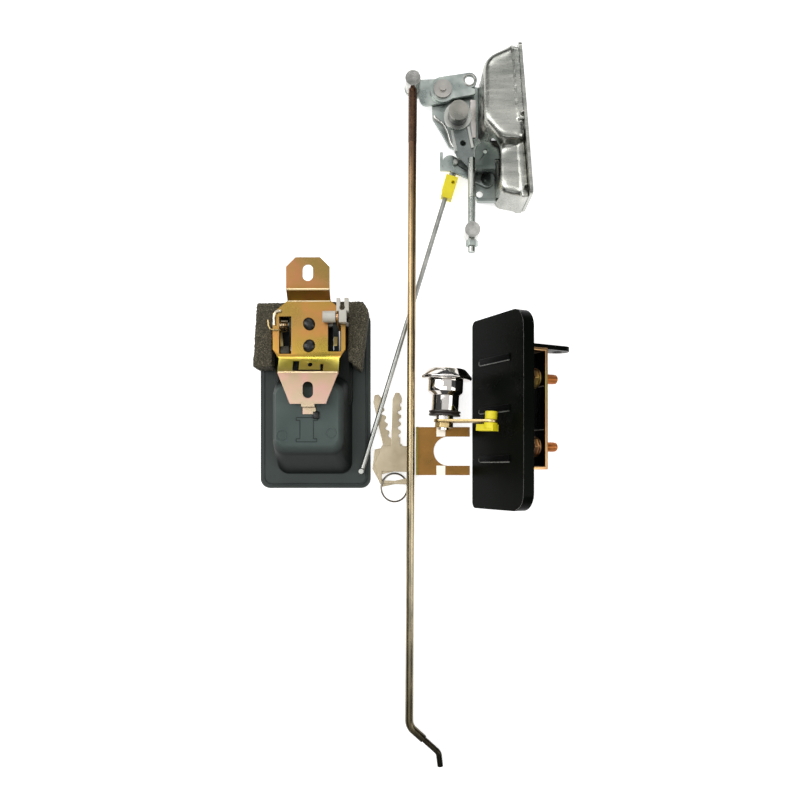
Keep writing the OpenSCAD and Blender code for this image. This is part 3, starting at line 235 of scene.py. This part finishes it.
# the forked clip is brown, with a painted highlight in near-white on the pressed band over each arm, and a
# darker turned end
clipHighlightStops = [(0, (104, 74, 36)), (1.6, (131, 96, 50)), (1.85, (236, 226, 208)), (2.3, (244, 236, 222)),
             (2.6, (150, 124, 48)), (5.5, (112, 100, 40))]
clipGoldHighlighted = placed("clipGoldHighlighted", "Z", clipHighlightStops, (0.26, 0.36), patch=60)

# how the outside grip lies: its low edge on the table, leaning back
gripTilt = math.radians(63.5)
gripFrame = Euler((0, -gripTilt, 0)).to_matrix()
gripFoot = Vector(mm(41.7, 2, 1.4386))
gripOut = gripFrame @ Vector((0, 0, 1))


# a place on the grip in millimetres: up its face, along it, and out of it
def onGrip(x, y, z):
    return tuple(gripFoot + gripFrame @ Vector(mm(x, y, z)))


# the outside bracket is gold at its edges and dark on the inner face, where the grip shades it
yokeShade = {"web": (-0.02225, -0.02205), "middle": 0.0035, "half": (0.0363, 0.0366), "dark": (16, 13, 10),
             "gold": [(0.3, (190, 152, 86)), (0.5, (206, 160, 112)), (0.7, (192, 174, 100))],
             "patch": 26, "rough": (0.27, 0.34)}


def yokeFinish():
    mat, tree, shader = newFinish("yokeZinc")
    slow = noise(tree, coords(tree), yokeShade["patch"])
    depth = add(tree, "ShaderNodeVectorMath", operation="DOT_PRODUCT")
    depth.inputs[1].default_value = gripOut
    tree.links.new(coords(tree), depth.inputs[0])
    faceAt = gripFoot.dot(gripOut)
    inner = spread(tree, depth.outputs["Value"], 0, 1, *[faceAt + at for at in yokeShade["web"]])
    side = add(tree, "ShaderNodeSeparateXYZ")
    tree.links.new(coords(tree, place=(0, -yokeShade["middle"], 0)), side.inputs["Vector"])
    width = add(tree, "ShaderNodeMath", operation="ABSOLUTE")
    tree.links.new(side.outputs["Y"], width.inputs[0])
    between = spread(tree, width.outputs["Value"], 1, 0, *yokeShade["half"])
    shade = add(tree, "ShaderNodeMath", operation="MULTIPLY")
    tree.links.new(inner, shade.inputs[0])
    tree.links.new(between, shade.inputs[1])
    mix = add(tree, "ShaderNodeMix", data_type="RGBA")
    tree.links.new(shade.outputs["Value"], mix.inputs[0])
    tree.links.new(ramp(tree, slow, yokeShade["gold"]), mix.inputs[6])
    mix.inputs[7].default_value = tone(*yokeShade["dark"])
    tree.links.new(mix.outputs[2], shader.inputs["Base Color"])
    tree.links.new(spread(tree, slow, *yokeShade["rough"]), shader.inputs["Roughness"])
    shader.inputs["Metallic"].default_value = 1
    return mat


# the long rod changes along its length: dark bent tip, pale bronze, then brown towards the thread
rodShade = {"tip": -236, "top": 225, "patch": 260, "stretch": (1, 0.25, 1), "depth": 0.45,
            "rough": (0.18, 0.3), "tints": shades((90, 96, 92), (176, 168, 160), 0.35),
            "stops": [(0, (44, 42, 36)), (0.045, (58, 54, 44)), (0.075, (120, 112, 88)),
                      (0.25, (178, 168, 144)), (0.5, (174, 158, 124)), (0.8, (162, 138, 102)),
                      (0.9, (128, 98, 76)), (1, (96, 70, 56))]}


def rodFinish():
    mat, tree, shader = newFinish("rodBronze")
    base = ramp(tree, along(tree, "Y", rodShade["tip"], rodShade["top"]), rodShade["stops"])
    patch = noise(tree, coords(tree, rodShade["stretch"]), rodShade["patch"], detail=4)
    tint = ramp(tree, patch, rodShade["tints"])
    tree.links.new(overlay(tree, base, tint, rodShade["depth"]), shader.inputs["Base Color"])
    tree.links.new(spread(tree, patch, *rodShade["rough"]), shader.inputs["Roughness"])
    bump(tree, shader, patch, strength=0.15, depth=0.00003)
    shader.inputs["Metallic"].default_value = 1
    return mat


# the foam is a speckle of dark cells and pale walls
foamShade = {"speck": 1500, "cell": 900, "rough": 0.95,
             "stops": [(0.36, (32, 29, 22)), (0.56, (82, 77, 62)), (0.7, (156, 148, 122))]}


def foamFinish():
    mat, tree, shader = newFinish("foamGrey")
    fine = noise(tree, coords(tree), foamShade["speck"], detail=4, rough=0.7)
    tree.links.new(ramp(tree, fine, foamShade["stops"]), shader.inputs["Base Color"])
    cells = add(tree, "ShaderNodeTexVoronoi", Scale=foamShade["cell"])
    tree.links.new(coords(tree), cells.inputs["Vector"])
    bump(tree, shader, cells.outputs["Distance"], strength=0.8, depth=0.0005)
    shader.inputs["Roughness"].default_value = foamShade["rough"]
    return mat


rodBronze = rodFinish()
yokeZinc = yokeFinish()
foamGrey = foamFinish()
nodeFinish = {
    zincCase: ["latch_case", "face_plate"],
    zincLever: ["swivel_nut", "rod_lever", "eye_plate", "lock_lever"],
    studZincShaded: ["main_stud"],
    leverZincShaded: ["release_lever"],
    plateZincShaded: ["lever_plate"],
    tabZincShaded: ["pawl_tab", "lock_lever_rivet"],
    washerZinc: ["rod_lever_rivet"],
    swivelZinc: ["lower_swivel", "upper_swivel"],
    pinSteel: ["rotor", "rotor_pin", "rotor_spring", "pawl", "pawl_pin", "pawl_spring", "inside_lever_pin",
               "hinge_pin", "grip_spring"],
    yellowPlastic: ["rod_clip", "cam_clip"],
    rodBronze: ["long_rod"],
    zincRod: ["thin_rod"],
    cupSkinShaded: ["inside_cup"],
    cupPlastic: ["inside_lever"],
    bracketZinc: ["inside_bracket"],
    springWire: ["inside_spring"],
    yokeZinc: ["outside_bracket"],
    goldZinc: ["inside_crank", "stud_nuts"],
    foamGrey: ["foam_pad_left", "foam_pad_right"],
    nylonWhite: ["rod_bush"],
    gripPaint: ["outside_grip", "grip_arm"],
    studCopper: ["fixing_studs"],
    chromeBright: ["lock_cap", "lock_body", "lock_plug"],
    ringSteel: ["key_ring"],
    sealBlack: ["lock_ring"],
    camBrass: ["lock_cam", "cam_nut"],
    clipGoldHighlighted: ["retaining_clip"],
    keyNickel: ["key_front", "key_rear"],
}
for finish, names in nodeFinish.items():
    for name in names:
        nodes[name].data.materials.clear()
        nodes[name].data.materials.append(finish)
print("finishes laid on")

# a fine broken edge in millimetres on pressed and moulded pieces, so that edges catch the light
edgeBreak = {
    "face_plate": 0.4, "lever_plate": 0.35, "main_stud": 0.6, "release_lever": 0.5, "lower_swivel": 0.9,
    "swivel_nut": 0.4, "rod_lever": 0.4, "eye_plate": 0.4, "rod_lever_rivet": 0.3, "upper_swivel": 0.8,
    "lock_lever": 0.4, "pawl_tab": 0.4, "rod_clip": 0.7, "inside_bracket": 0.7, "inside_crank": 0.3,
    "rod_bush": 0.5, "outside_grip": 0.35, "grip_arm": 0.6, "outside_bracket": 0.5, "fixing_studs": 0.4,
    "stud_nuts": 0.3, "lock_plug": 0.3, "lock_cam": 0.3, "cam_nut": 0.3, "cam_clip": 0.6,
    "key_front": 0.25, "key_rear": 0.25,
}
roundPiece = ("main_stud", "lower_swivel", "upper_swivel", "rod_lever_rivet", "lock_plug", "fixing_studs",
              "release_lever")
edgeAngle = {"round": math.radians(55), "flat": math.radians(38), "moulded": math.radians(34)}


def joinFacets(piece):
    for face in piece.data.polygons:
        face.use_smooth = True
    weld = piece.modifiers.new("joinFacets", "WELD")
    weld.merge_threshold = 0.000005


for name, size in edgeBreak.items():
    piece = nodes[name]
    joinFacets(piece)
    bevel = piece.modifiers.new("brokenEdge", "BEVEL")
    bevel.width = size / 1000
    bevel.segments = 2
    bevel.limit_method = "ANGLE"
    bevel.angle_limit = edgeAngle["round" if name in roundPiece else "flat"]
    level = piece.modifiers.new("levelFaces", "WEIGHTED_NORMAL")
    level.mode = "FACE_AREA_WITH_ANGLE"
    level.weight = 50
# the moulded cup is drawn in fine steps, which shade as one skin up to a sharp edge
for name in ("inside_cup", "inside_lever"):
    joinFacets(nodes[name])
    split = nodes[name].modifiers.new("sharpEdges", "EDGE_SPLIT")
    split.split_angle = edgeAngle["moulded"]
print("edges broken:", len(edgeBreak))


def freshPick():
    if bpy.context.object and bpy.context.object.mode != "OBJECT":
        bpy.ops.object.mode_set(mode="OBJECT")
    bpy.ops.object.select_all(action="DESELECT")


# puts the active object away: place in its mesh, finish and body
def settle(name, finish, body):
    piece = bpy.context.object
    bpy.ops.object.transform_apply(location=True, rotation=True, scale=True)
    piece.name = name
    piece.data.name = name
    piece.data.materials.clear()
    piece.data.materials.append(finish)
    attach(piece, body)
    return piece


def applyAll(piece):
    bpy.context.view_layer.objects.active = piece
    for modifier in list(piece.modifiers):
        bpy.ops.object.modifier_apply(modifier=modifier.name)


# a row of thread ridges along a round, made as one ring and repeated
def threadRow(name, start, axis, radius, pitch, count, finish, body):
    freshPick()
    turn = Vector((0, 0, 1)).rotation_difference(Vector(axis)).to_euler()
    ridge = pitch * 0.34  # leaves a narrow groove between two ridges
    bpy.ops.mesh.primitive_torus_add(location=start, rotation=turn, major_radius=radius, minor_radius=ridge,
                                     major_segments=28, minor_segments=8)
    ring = bpy.context.object
    row = ring.modifiers.new("ridges", "ARRAY")
    row.use_relative_offset = False
    row.use_constant_offset = True
    row.constant_offset_displace = (0, 0, pitch)
    row.count = count
    applyAll(ring)
    bpy.ops.object.shade_smooth()
    return settle(name, finish, body)


# round wire through five or more points, as a drawn curve turned into a mesh
def bentWire(name, points, radius, finish, body, order=3, loop=False):
    freshPick()
    bpy.ops.curve.primitive_nurbs_path_add(location=(0, 0, 0))
    wire = bpy.context.object
    spline = wire.data.splines[0]
    spline.points.add(len(points) - len(spline.points))
    for point, at in zip(spline.points, points):
        point.co = (*at, 1)
    spline.use_endpoint_u = not loop
    spline.use_cyclic_u = loop
    spline.order_u = order
    wire.data.resolution_u = 8
    wire.data.bevel_depth = radius
    wire.data.bevel_resolution = 3
    wire.data.use_fill_caps = True
    bpy.ops.object.convert(target="MESH")
    bpy.ops.object.shade_smooth()
    return settle(name, finish, body)


# a merged copy of a node's shape, to be worked on
def nodeCopy(node):
    freshPick()
    bpy.ops.mesh.primitive_cube_add(size=1, location=(0, 0, 0))
    piece = bpy.context.object
    piece.data = nodes[node].data.copy()
    bpy.ops.object.mode_set(mode="EDIT")
    bpy.ops.mesh.select_all(action="SELECT")
    bpy.ops.mesh.remove_doubles(threshold=0.00001)
    bpy.ops.object.mode_set(mode="OBJECT")
    return piece


def evenSkin(piece, cell):
    remesh = piece.modifiers.new("evenSkin", "REMESH")
    remesh.mode = "VOXEL"
    remesh.voxel_size = cell
    applyAll(piece)


# foam pads: cut blocks with torn open cells on the skin, the right one with a lap at its inner edge
foamPad = {"cell": 0.0009, "tear": 0.00042, "seed": 5}
rightLap = {"middle": (-38.6, 52, 19.8), "size": (5.2, 33, 7.4)}


def foamBlock(name, node, lap=None):
    block = nodeCopy(node)
    bpy.ops.object.mode_set(mode="EDIT")
    bpy.ops.mesh.select_all(action="SELECT")
    bpy.ops.mesh.normals_make_consistent(inside=False)
    if lap:
        bpy.ops.mesh.primitive_cube_add(size=1, location=mm(*lap["middle"]), scale=mm(*lap["size"]))
    bpy.ops.object.mode_set(mode="OBJECT")
    evenSkin(block, foamPad["cell"])
    bpy.ops.object.mode_set(mode="EDIT")
    bpy.ops.mesh.select_all(action="SELECT")
    bpy.ops.mesh.vertices_smooth(factor=0.5, repeat=2)
    bpy.ops.transform.vertex_random(offset=foamPad["tear"], uniform=0.2, normal=0.8, seed=foamPad["seed"])
    bpy.ops.object.mode_set(mode="OBJECT")
    bpy.ops.object.shade_smooth()
    piece = settle(name, foamGrey, "set_base")
    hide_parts(node)


foamBlock("foamLeft", "foam_pad_left")
foamBlock("foamRight", "foam_pad_right", rightLap)
print("foam pads cut")

# the drawn case: pressed edges and shoulder eased, its foot and the rim along the face plate kept crisp
drawnCase = {"cell": 0.0007, "plateWay": Vector((0.996917, 0.078459, 0)), "plateAt": 0.08665,
             "rim": 0.0062, "foot": 0.01, "allOver": 4, "passes": 90}


def easedCase(name, node):
    case = nodeCopy(node)
    evenSkin(case, drawnCase["cell"])
    bpy.ops.object.mode_set(mode="EDIT")
    bpy.ops.mesh.select_mode(type="VERT")
    bpy.ops.mesh.select_all(action="SELECT")
    bpy.ops.mesh.vertices_smooth(factor=0.5, repeat=drawnCase["allOver"])
    bpy.ops.mesh.select_all(action="DESELECT")
    bpy.ops.object.mode_set(mode="OBJECT")
    for vertex in case.data.vertices:
        offRim = vertex.co.dot(drawnCase["plateWay"]) < drawnCase["plateAt"] - drawnCase["rim"]
        vertex.select = offRim and vertex.co.z > drawnCase["foot"]
    bpy.ops.object.mode_set(mode="EDIT")
    bpy.ops.mesh.vertices_smooth(factor=0.5, repeat=drawnCase["passes"])
    bpy.ops.object.mode_set(mode="OBJECT")
    bpy.ops.object.shade_smooth()
    piece = settle(name, zincCase, "set_base")
    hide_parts(node)


easedCase("caseDrawn", "latch_case")
print("latch case drawn")

# black stakes of the cup, melted over the bracket plate
stake = {"radius": 0.0041, "shape": (0.95, 1.06, 0.5), "wobble": 0.00012, "seed": 3,
         "heads": {"Upper": (mm(-65.5, 58.1, 32), 0.4), "Lower": (mm(-65.5, 44.1, 32), -0.5)}}
for label, (place, turn) in stake["heads"].items():
    freshPick()
    bpy.ops.mesh.primitive_uv_sphere_add(segments=28, ring_count=18, radius=stake["radius"], location=place)
    head = bpy.context.object
    head.scale = stake["shape"]
    head.rotation_euler = (0, 0, turn)
    bpy.ops.object.transform_apply(location=True, rotation=True, scale=True)
    bpy.ops.object.mode_set(mode="EDIT")
    bpy.ops.mesh.select_all(action="SELECT")
    bpy.ops.mesh.bisect(plane_co=place, plane_no=(0, 0, 1), use_fill=True, clear_inner=True)
    bpy.ops.mesh.select_all(action="SELECT")
    bpy.ops.transform.vertex_random(offset=stake["wobble"], uniform=0.1, normal=0.6, seed=stake["seed"])
    bpy.ops.mesh.vertices_smooth(factor=0.4, repeat=2)
    bpy.ops.object.mode_set(mode="OBJECT")
    bpy.ops.object.shade_smooth()
    settle("stakeHead" + label, stakeBlack, "set_base")
print("stakes melted")

# ends of the inside spring: a hooked leg over the left edge of the bracket, a curl above the left window
springLeg = [(-91.4, 60.4, 33.4), (-91.3, 57.4, 33.5), (-90.2, 54.6, 33.6), (-87.4, 54, 33.5),
             (-85, 54.3, 33.1), (-83.2, 54, 30.4), (-81.6, 53.8, 26.4), (-80.6, 55, 23.6), (-80.1, 56.6, 22)]
springCurl = [(-87.5, 57.2, 32.7), (-87.7, 61, 32.9), (-87.5, 64, 33), (-86.6, 65.6, 33), (-85, 66.2, 33),
              (-83.4, 66.2, 32.7)]
springRadius = {"leg": 0.00055, "curl": 0.001}
bentWire("springLeg", [mm(*point) for point in springLeg], springRadius["leg"],
         camBrass, "set_base")
bentWire("springCurl", [mm(*point) for point in springCurl], springRadius["curl"],
         springWire, "set_base")

# wire spring that lies on the lever plate along its left edge
plateWire = {"height": 8.8, "radius": 0.0009,
             "path": [(15.6, 201.4), (16.2, 200.2), (17.2, 199.2), (19, 198), (22.4, 195.4), (24.8, 191),
                      (26, 186.5), (27, 183), (28.4, 180.8)]}
bentWire("plateWire", [mm(x, y, plateWire["height"]) for x, y in plateWire["path"]], plateWire["radius"],
         swivelZinc, "set_base")
print("spring ends bent")


# strips and blocks seen in the windows of the bracket and under its tongue
def flatStrip(name, start, end, width, thick, finish, body):
    freshPick()
    way = Vector(end) - Vector(start)
    bpy.ops.mesh.primitive_cube_add(size=1, location=(Vector(start) + Vector(end)) / 2,
                                    rotation=(math.atan2(way.z, way.y), 0, math.atan2(-way.x, way.y)))
    strip = bpy.context.object
    strip.scale = (width, way.length, thick)
    bpy.ops.object.transform_apply(location=False, rotation=False, scale=True)
    soft = strip.modifiers.new("rolledEdge", "BEVEL")
    soft.width = thick * 0.4
    soft.segments = 3
    applyAll(strip)
    bpy.ops.object.shade_smooth_by_angle(angle=math.radians(40))
    return settle(name, finish, body)


flatStrip("leftStrip", mm(-86, 55.4, 20.4), mm(-84.6, 45.6, 16.6), width=0.0022, thick=0.001,
          finish=stripPaleLit, body="set_base")
flatStrip("armStrip", mm(-49.2, 56.6, 26.2), mm(-49.2, 45, 18.2), width=0.0026, thick=0.0008,
          finish=stripPaleLit, body="inside_lever")
flatStrip("leftBlock", mm(-83.2, 46.6, 16.2), mm(-83.2, 41.6, 16.2), width=0.0062, thick=0.0026,
          finish=blockGrey, body="set_base")
flatStrip("tongueHook", mm(-61.2, -2.6, 30.5), mm(-61.2, 2.4, 30.5), width=0.0042, thick=0.0022,
          finish=stakeBlack, body="set_base")
print("window pieces laid in")

# moulding lines on the back of the pocket: a stepped outline and two round marks
pocketMark = {"top": 30, "sink": 0.05, "line": 0.0003, "ring": 0.0031, "ringLine": 0.00045, "ringFlat": 0.7,
              "rings": {"Left": (-83.4, -13), "Right": (-51.6, -11.4)}}
frameMark = [(-74, -1.6), (-60.2, -1.6), (-60.2, -3.4), (-62.9, -3.4), (-62.9, -15.2), (-60.8, -15.2),
             (-60.8, -17.2), (-74, -17.2), (-74, -15.2), (-71.6, -15.2), (-71.6, -3.4), (-74, -3.4)]
bentWire("frameMark", [mm(x, y, pocketMark["top"] - pocketMark["sink"]) for x, y in frameMark],
         pocketMark["line"], cupPlastic, "set_base", order=2, loop=True)
for label, (x, y) in pocketMark["rings"].items():
    freshPick()
    bpy.ops.mesh.primitive_torus_add(location=mm(x, y, pocketMark["top"]), major_radius=pocketMark["ring"],
                                     minor_radius=pocketMark["ringLine"],
                                     major_segments=40, minor_segments=10)
    ringMark = bpy.context.object
    ringMark.scale = (1, 1, pocketMark["ringFlat"])
    bpy.ops.object.shade_smooth()
    settle("ringMark" + label, cupSkinShaded, "set_base")
print("moulding lines drawn")

# rolled bends of the inside bracket, pale as a painted highlight, as left and right end, place along the set
# and height
bendRoll = {"tabBend": (-78.9, -52.1, 79, 38.1), "plateBend": (-79, -52, 72.9, 31.3),
            "footBend": (-84.2, -46.8, 26.4, 38.1)}
bendRadius = 0.001
for name, (left, right, y, z) in bendRoll.items():
    roll = [mm(left + (right - left) * step / 4, y, z) for step in range(5)]
    bentWire(name, roll, bendRadius, bendHighlight, "set_base", order=2)
print("bends rolled")

# chrome lock pieces, turned from their profiles of radius and height about the axis of the cylinder
lockTurn = math.radians(3)
lockAxis = {"foot": Vector(mm(23.3, 24, 16.8)), "way": Vector((math.sin(lockTurn), math.cos(lockTurn), 0)),
            "flatAt": 0.0108}
lockProfile = {
    "lock_cap": [(6.06, 0), (15.9, 0), (16.7, 0.8), (16.7, 1.8), (12.9, 6.4), (11.9, 7.2), (10.4, 6.3),
                 (6.06, 6.3)],
    "lock_body": [(6.06, -20.6), (9.1, -20.6), (9.1, -10.6), (12.2, -8), (12.2, 0), (6.06, 0)],
    "lock_ring": [(6.06, -23.8), (10.5, -23.8), (10.5, -22.7), (9.5, -22.2), (10.5, -21.7), (10.5, -20.6),
                  (6.06, -20.6)],
}


def turnedPiece(name, node, finish, soften):
    foot, way = lockAxis["foot"], lockAxis["way"]
    freshPick()
    bpy.ops.curve.primitive_nurbs_path_add(location=(0, 0, 0))
    outline = bpy.context.object
    spline = outline.data.splines[0]
    profile = lockProfile[node]
    spline.points.add(len(profile) - len(spline.points))
    for point, (radius, height) in zip(spline.points, profile):
        point.co = (*(foot + way * height / 1000 + Vector((0, 0, radius / 1000))), 1)
    spline.type = "POLY"
    spline.use_cyclic_u = True
    bpy.ops.object.convert(target="MESH")
    bpy.ops.object.mode_set(mode="EDIT")
    bpy.ops.mesh.select_all(action="SELECT")
    bpy.ops.mesh.spin(steps=72, angle=math.tau, center=foot, axis=way)
    bpy.ops.mesh.select_all(action="SELECT")
    bpy.ops.mesh.remove_doubles(threshold=0.00001)
    bpy.ops.mesh.normals_make_consistent(inside=False)
    if node == "lock_body":  # one flat along the body
        side = Vector((way.y, -way.x, 0))
        bpy.ops.mesh.bisect(plane_co=foot + side * lockAxis["flatAt"], plane_no=side, use_fill=True,
                            clear_outer=True)
    bpy.ops.object.mode_set(mode="OBJECT")
    piece = bpy.context.object
    soft = piece.modifiers.new("softEdges", "BEVEL")
    soft.width = soften
    soft.segments = 3
    soft.limit_method = "ANGLE"
    soft.angle_limit = math.radians(25)
    applyAll(piece)
    bpy.ops.object.shade_smooth_by_angle(angle=math.radians(32))
    piece = settle(name, finish, "set_base")
    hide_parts(node)


turnedPiece("lockCapTurned", "lock_cap", chromeBright, soften=0.0004)
turnedPiece("lockBodyTurned", "lock_body", chromeBright, soften=0.0004)
turnedPiece("lockRingTurned", "lock_ring", sealBlack, soften=0.0002)
print("lock pieces turned")


# round-cornered path of the given half sizes, as points
def roundPath(half, corner, middle, height, steps=6):
    points = []
    for turn, (sx, sy) in enumerate(((1, 1), (-1, 1), (-1, -1), (1, -1))):
        for step in range(steps + 1):
            angle = math.radians(90 * (turn + step / steps))
            points.append(mm(middle[0] + sx * (half[0] - corner) + corner * math.cos(angle),
                             middle[1] + sy * (half[1] - corner) + corner * math.sin(angle), height))
    return points


# bead along the step of the flange
flangeBead = {"half": (34.4, 56.7), "corner": 5, "middle": (-64.5, 12), "height": 3.35}
beadRadius = 0.0006
bentWire("flangeBead", roundPath(**flangeBead), beadRadius, cupPlastic, "set_base",
         order=2, loop=True)
print("flange beaded")

# ribs pressed out of the grip, in a darker black as painted shadow, with a painted highlight along the lower
# edge of each, and another beside the turned lip
gripRib = {"size": mm(35, 4.4, 1.5), "across": 27.5, "along": (-30, 2, 34), "proud": 0.25, "round": 0.0007,
           "edge": 0.00045, "highlightLine": [(10.4, 0.6, 0.8), (9.9, -1.2, 0.75), (11.4, -2.2, 0.6),
                                     (28, -2.25, 0.6), (45, -2.2, 0.55)]}
for number, place in enumerate(gripRib["along"], 1):
    freshPick()
    bpy.ops.mesh.primitive_cube_add(size=1, location=onGrip(gripRib["across"], place, gripRib["proud"]),
                                    rotation=(0, -gripTilt, 0))
    rib = bpy.context.object
    rib.scale = gripRib["size"]
    bpy.ops.object.transform_apply(location=False, rotation=False, scale=True)
    soft = rib.modifiers.new("roundRib", "BEVEL")
    soft.width = gripRib["round"]
    soft.segments = 4
    applyAll(rib)
    bpy.ops.object.shade_smooth_by_angle(angle=math.radians(40))
    settle("gripRib%d" % number, ribShade, "set_base")
    highlightLine = [onGrip(x, place + y, z) for x, y, z in gripRib["highlightLine"]]
    bentWire("ribEdge%d" % number, highlightLine, gripRib["edge"], edgeHighlight, "set_base", order=2)
lipLine = {"sunk": -0.35, "radius": 0.00038,
           "path": [(50.5, -62.4), (55, -61), (58.4, -57), (59.5, -51.5), (59.6, -20), (59.6, 20),
                    (59.5, 51.5), (58.4, 57), (55, 61)]}
bentWire("lipLine", [onGrip(x, y, lipLine["sunk"]) for x, y in lipLine["path"]], lipLine["radius"],
         edgeHighlight, "set_base")
print("ribs pressed")

# two fine ridges across the web of the outside bracket
webRidge = {"up": (35.5, 39, 43, 47, 50.5), "behind": -21.9, "radius": 0.00036,
            "along": {"Upper": 15.9, "Lower": -11.8}}
for label, place in webRidge["along"].items():
    ridge = [onGrip(x, place, webRidge["behind"]) for x in webRidge["up"]]
    bentWire("webRidge" + label, ridge, webRidge["radius"], pinSteel, "outside_bracket", order=2)
print("web ridged")

# rolled rim of the eye in the upper plate
freshPick()
bpy.ops.mesh.primitive_torus_add(location=mm(38.8, 223.5, 13), major_radius=0.0037, minor_radius=0.0005,
                                 major_segments=40, minor_segments=10)
bpy.ops.object.shade_smooth()
settle("eyeRim", washerZinc, "rod_lever")
print("eye rolled")

# thread at the top of the long rod, which drops from its swivel to the table
rodLie = {"top": Vector(mm(1.1, 219.1, 18.4)), "drop": 14.55, "length": 428, "lean": -0.3, "start": 0.007}
rodFall = Euler((math.asin(rodLie["drop"] / rodLie["length"]), 0, math.radians(rodLie["lean"]))).to_matrix()
rodDown = rodFall @ Vector((0, -1, 0))
threadRow("rodThread", rodLie["top"] + rodDown * rodLie["start"], rodDown, radius=0.00262, pitch=0.0009,
          count=36, finish=threadBrown, body="long_rod")
# thread at the foot of the release arm
threadRow("armThread", mm(39.7, 143, 19.5), (0, -1, 0), radius=0.0023, pitch=0.0008,
          count=22, finish=zincLever, body="release_lever")
# threads of the outside studs
studLie = {"up": 42, "behind": -24.6, "along": {"Upper": 21.6, "Lower": -22.4}}
for label, place in studLie["along"].items():
    studFoot = onGrip(studLie["up"], place, studLie["behind"])
    threadRow("studThread" + label, studFoot, -gripOut, radius=0.00285, pitch=0.0009,
              count=13, finish=studCopper, body="outside_bracket")
print("threads cut")

# floor, light and camera
freshPick()
bpy.ops.mesh.primitive_plane_add(size=6, location=(0, 0, -0.0002))
floor = bpy.context.object
floor.name = "floor"
floorMat, _, floorShader = newFinish("floorPale")
floorShader.inputs["Base Color"].default_value = (0.94, 0.94, 0.94, 1)
floorShader.inputs["Roughness"].default_value = 0.9
floorShader.inputs["Emission Color"].default_value = (1, 1, 1, 1)
floorShader.inputs["Emission Strength"].default_value = 0.6
floor.data.materials.append(floorMat)

world = bpy.context.scene.world or bpy.data.worlds.new("studio")
bpy.context.scene.world = world
world.use_nodes = True
world.node_tree.nodes["Background"].inputs["Color"].default_value = (0.9, 0.95, 1.0, 1)
world.node_tree.nodes["Background"].inputs["Strength"].default_value = 0.1


def softLight(name, place, target, size, power):
    freshPick()
    bpy.ops.object.light_add(type="AREA", location=place)
    light = bpy.context.object
    light.name = name
    light.data.shape = "RECTANGLE"
    light.data.size, light.data.size_y = size
    light.data.energy = power
    light.rotation_euler = (Vector(target) - Vector(place)).to_track_quat("-Z", "Y").to_euler()


softLight("tentTop", (0, 0, 2.2), (0, 0, 0), size=(2.6, 2.6), power=17)
softLight("keyLight", (-1, 0.3, 0.9), (0, 0, 0), size=(0.5, 1.4), power=9)
softLight("fillLight", (1, -0.2, 0.8), (0, 0, 0), size=(0.4, 1), power=4)
softLight("farStrip", (0.1, 1.2, 1.1), (0, 0.1, 0), size=(1.4, 0.35), power=6)
softLight("topStrip", (-0.75, 0, 2), (0, 0, 0), size=(0.25, 1.6), power=5)
softLight("nearStrip", (-0.1, -1.1, 0.9), (0, 0, 0), size=(1.4, 0.35), power=2.2)

# straight down from 540 mm, over a field 544 mm wide
photoView = {"over": (-7.3, -35.3), "height": 540, "field": 544, "sensor": 36, "shiftY": 0.0875}
freshPick()
bpy.ops.object.camera_add(location=mm(*photoView["over"], photoView["height"]), rotation=(0, 0, 0))
camera = bpy.context.object
camera.data.sensor_width = photoView["sensor"]
camera.data.lens = photoView["sensor"] * photoView["height"] / photoView["field"]
camera.data.shift_y = photoView["shiftY"]
camera.data.clip_start = 0.01
bpy.context.scene.camera = camera
bpy.context.scene.view_settings.view_transform = "Standard"
print("camera and light set")
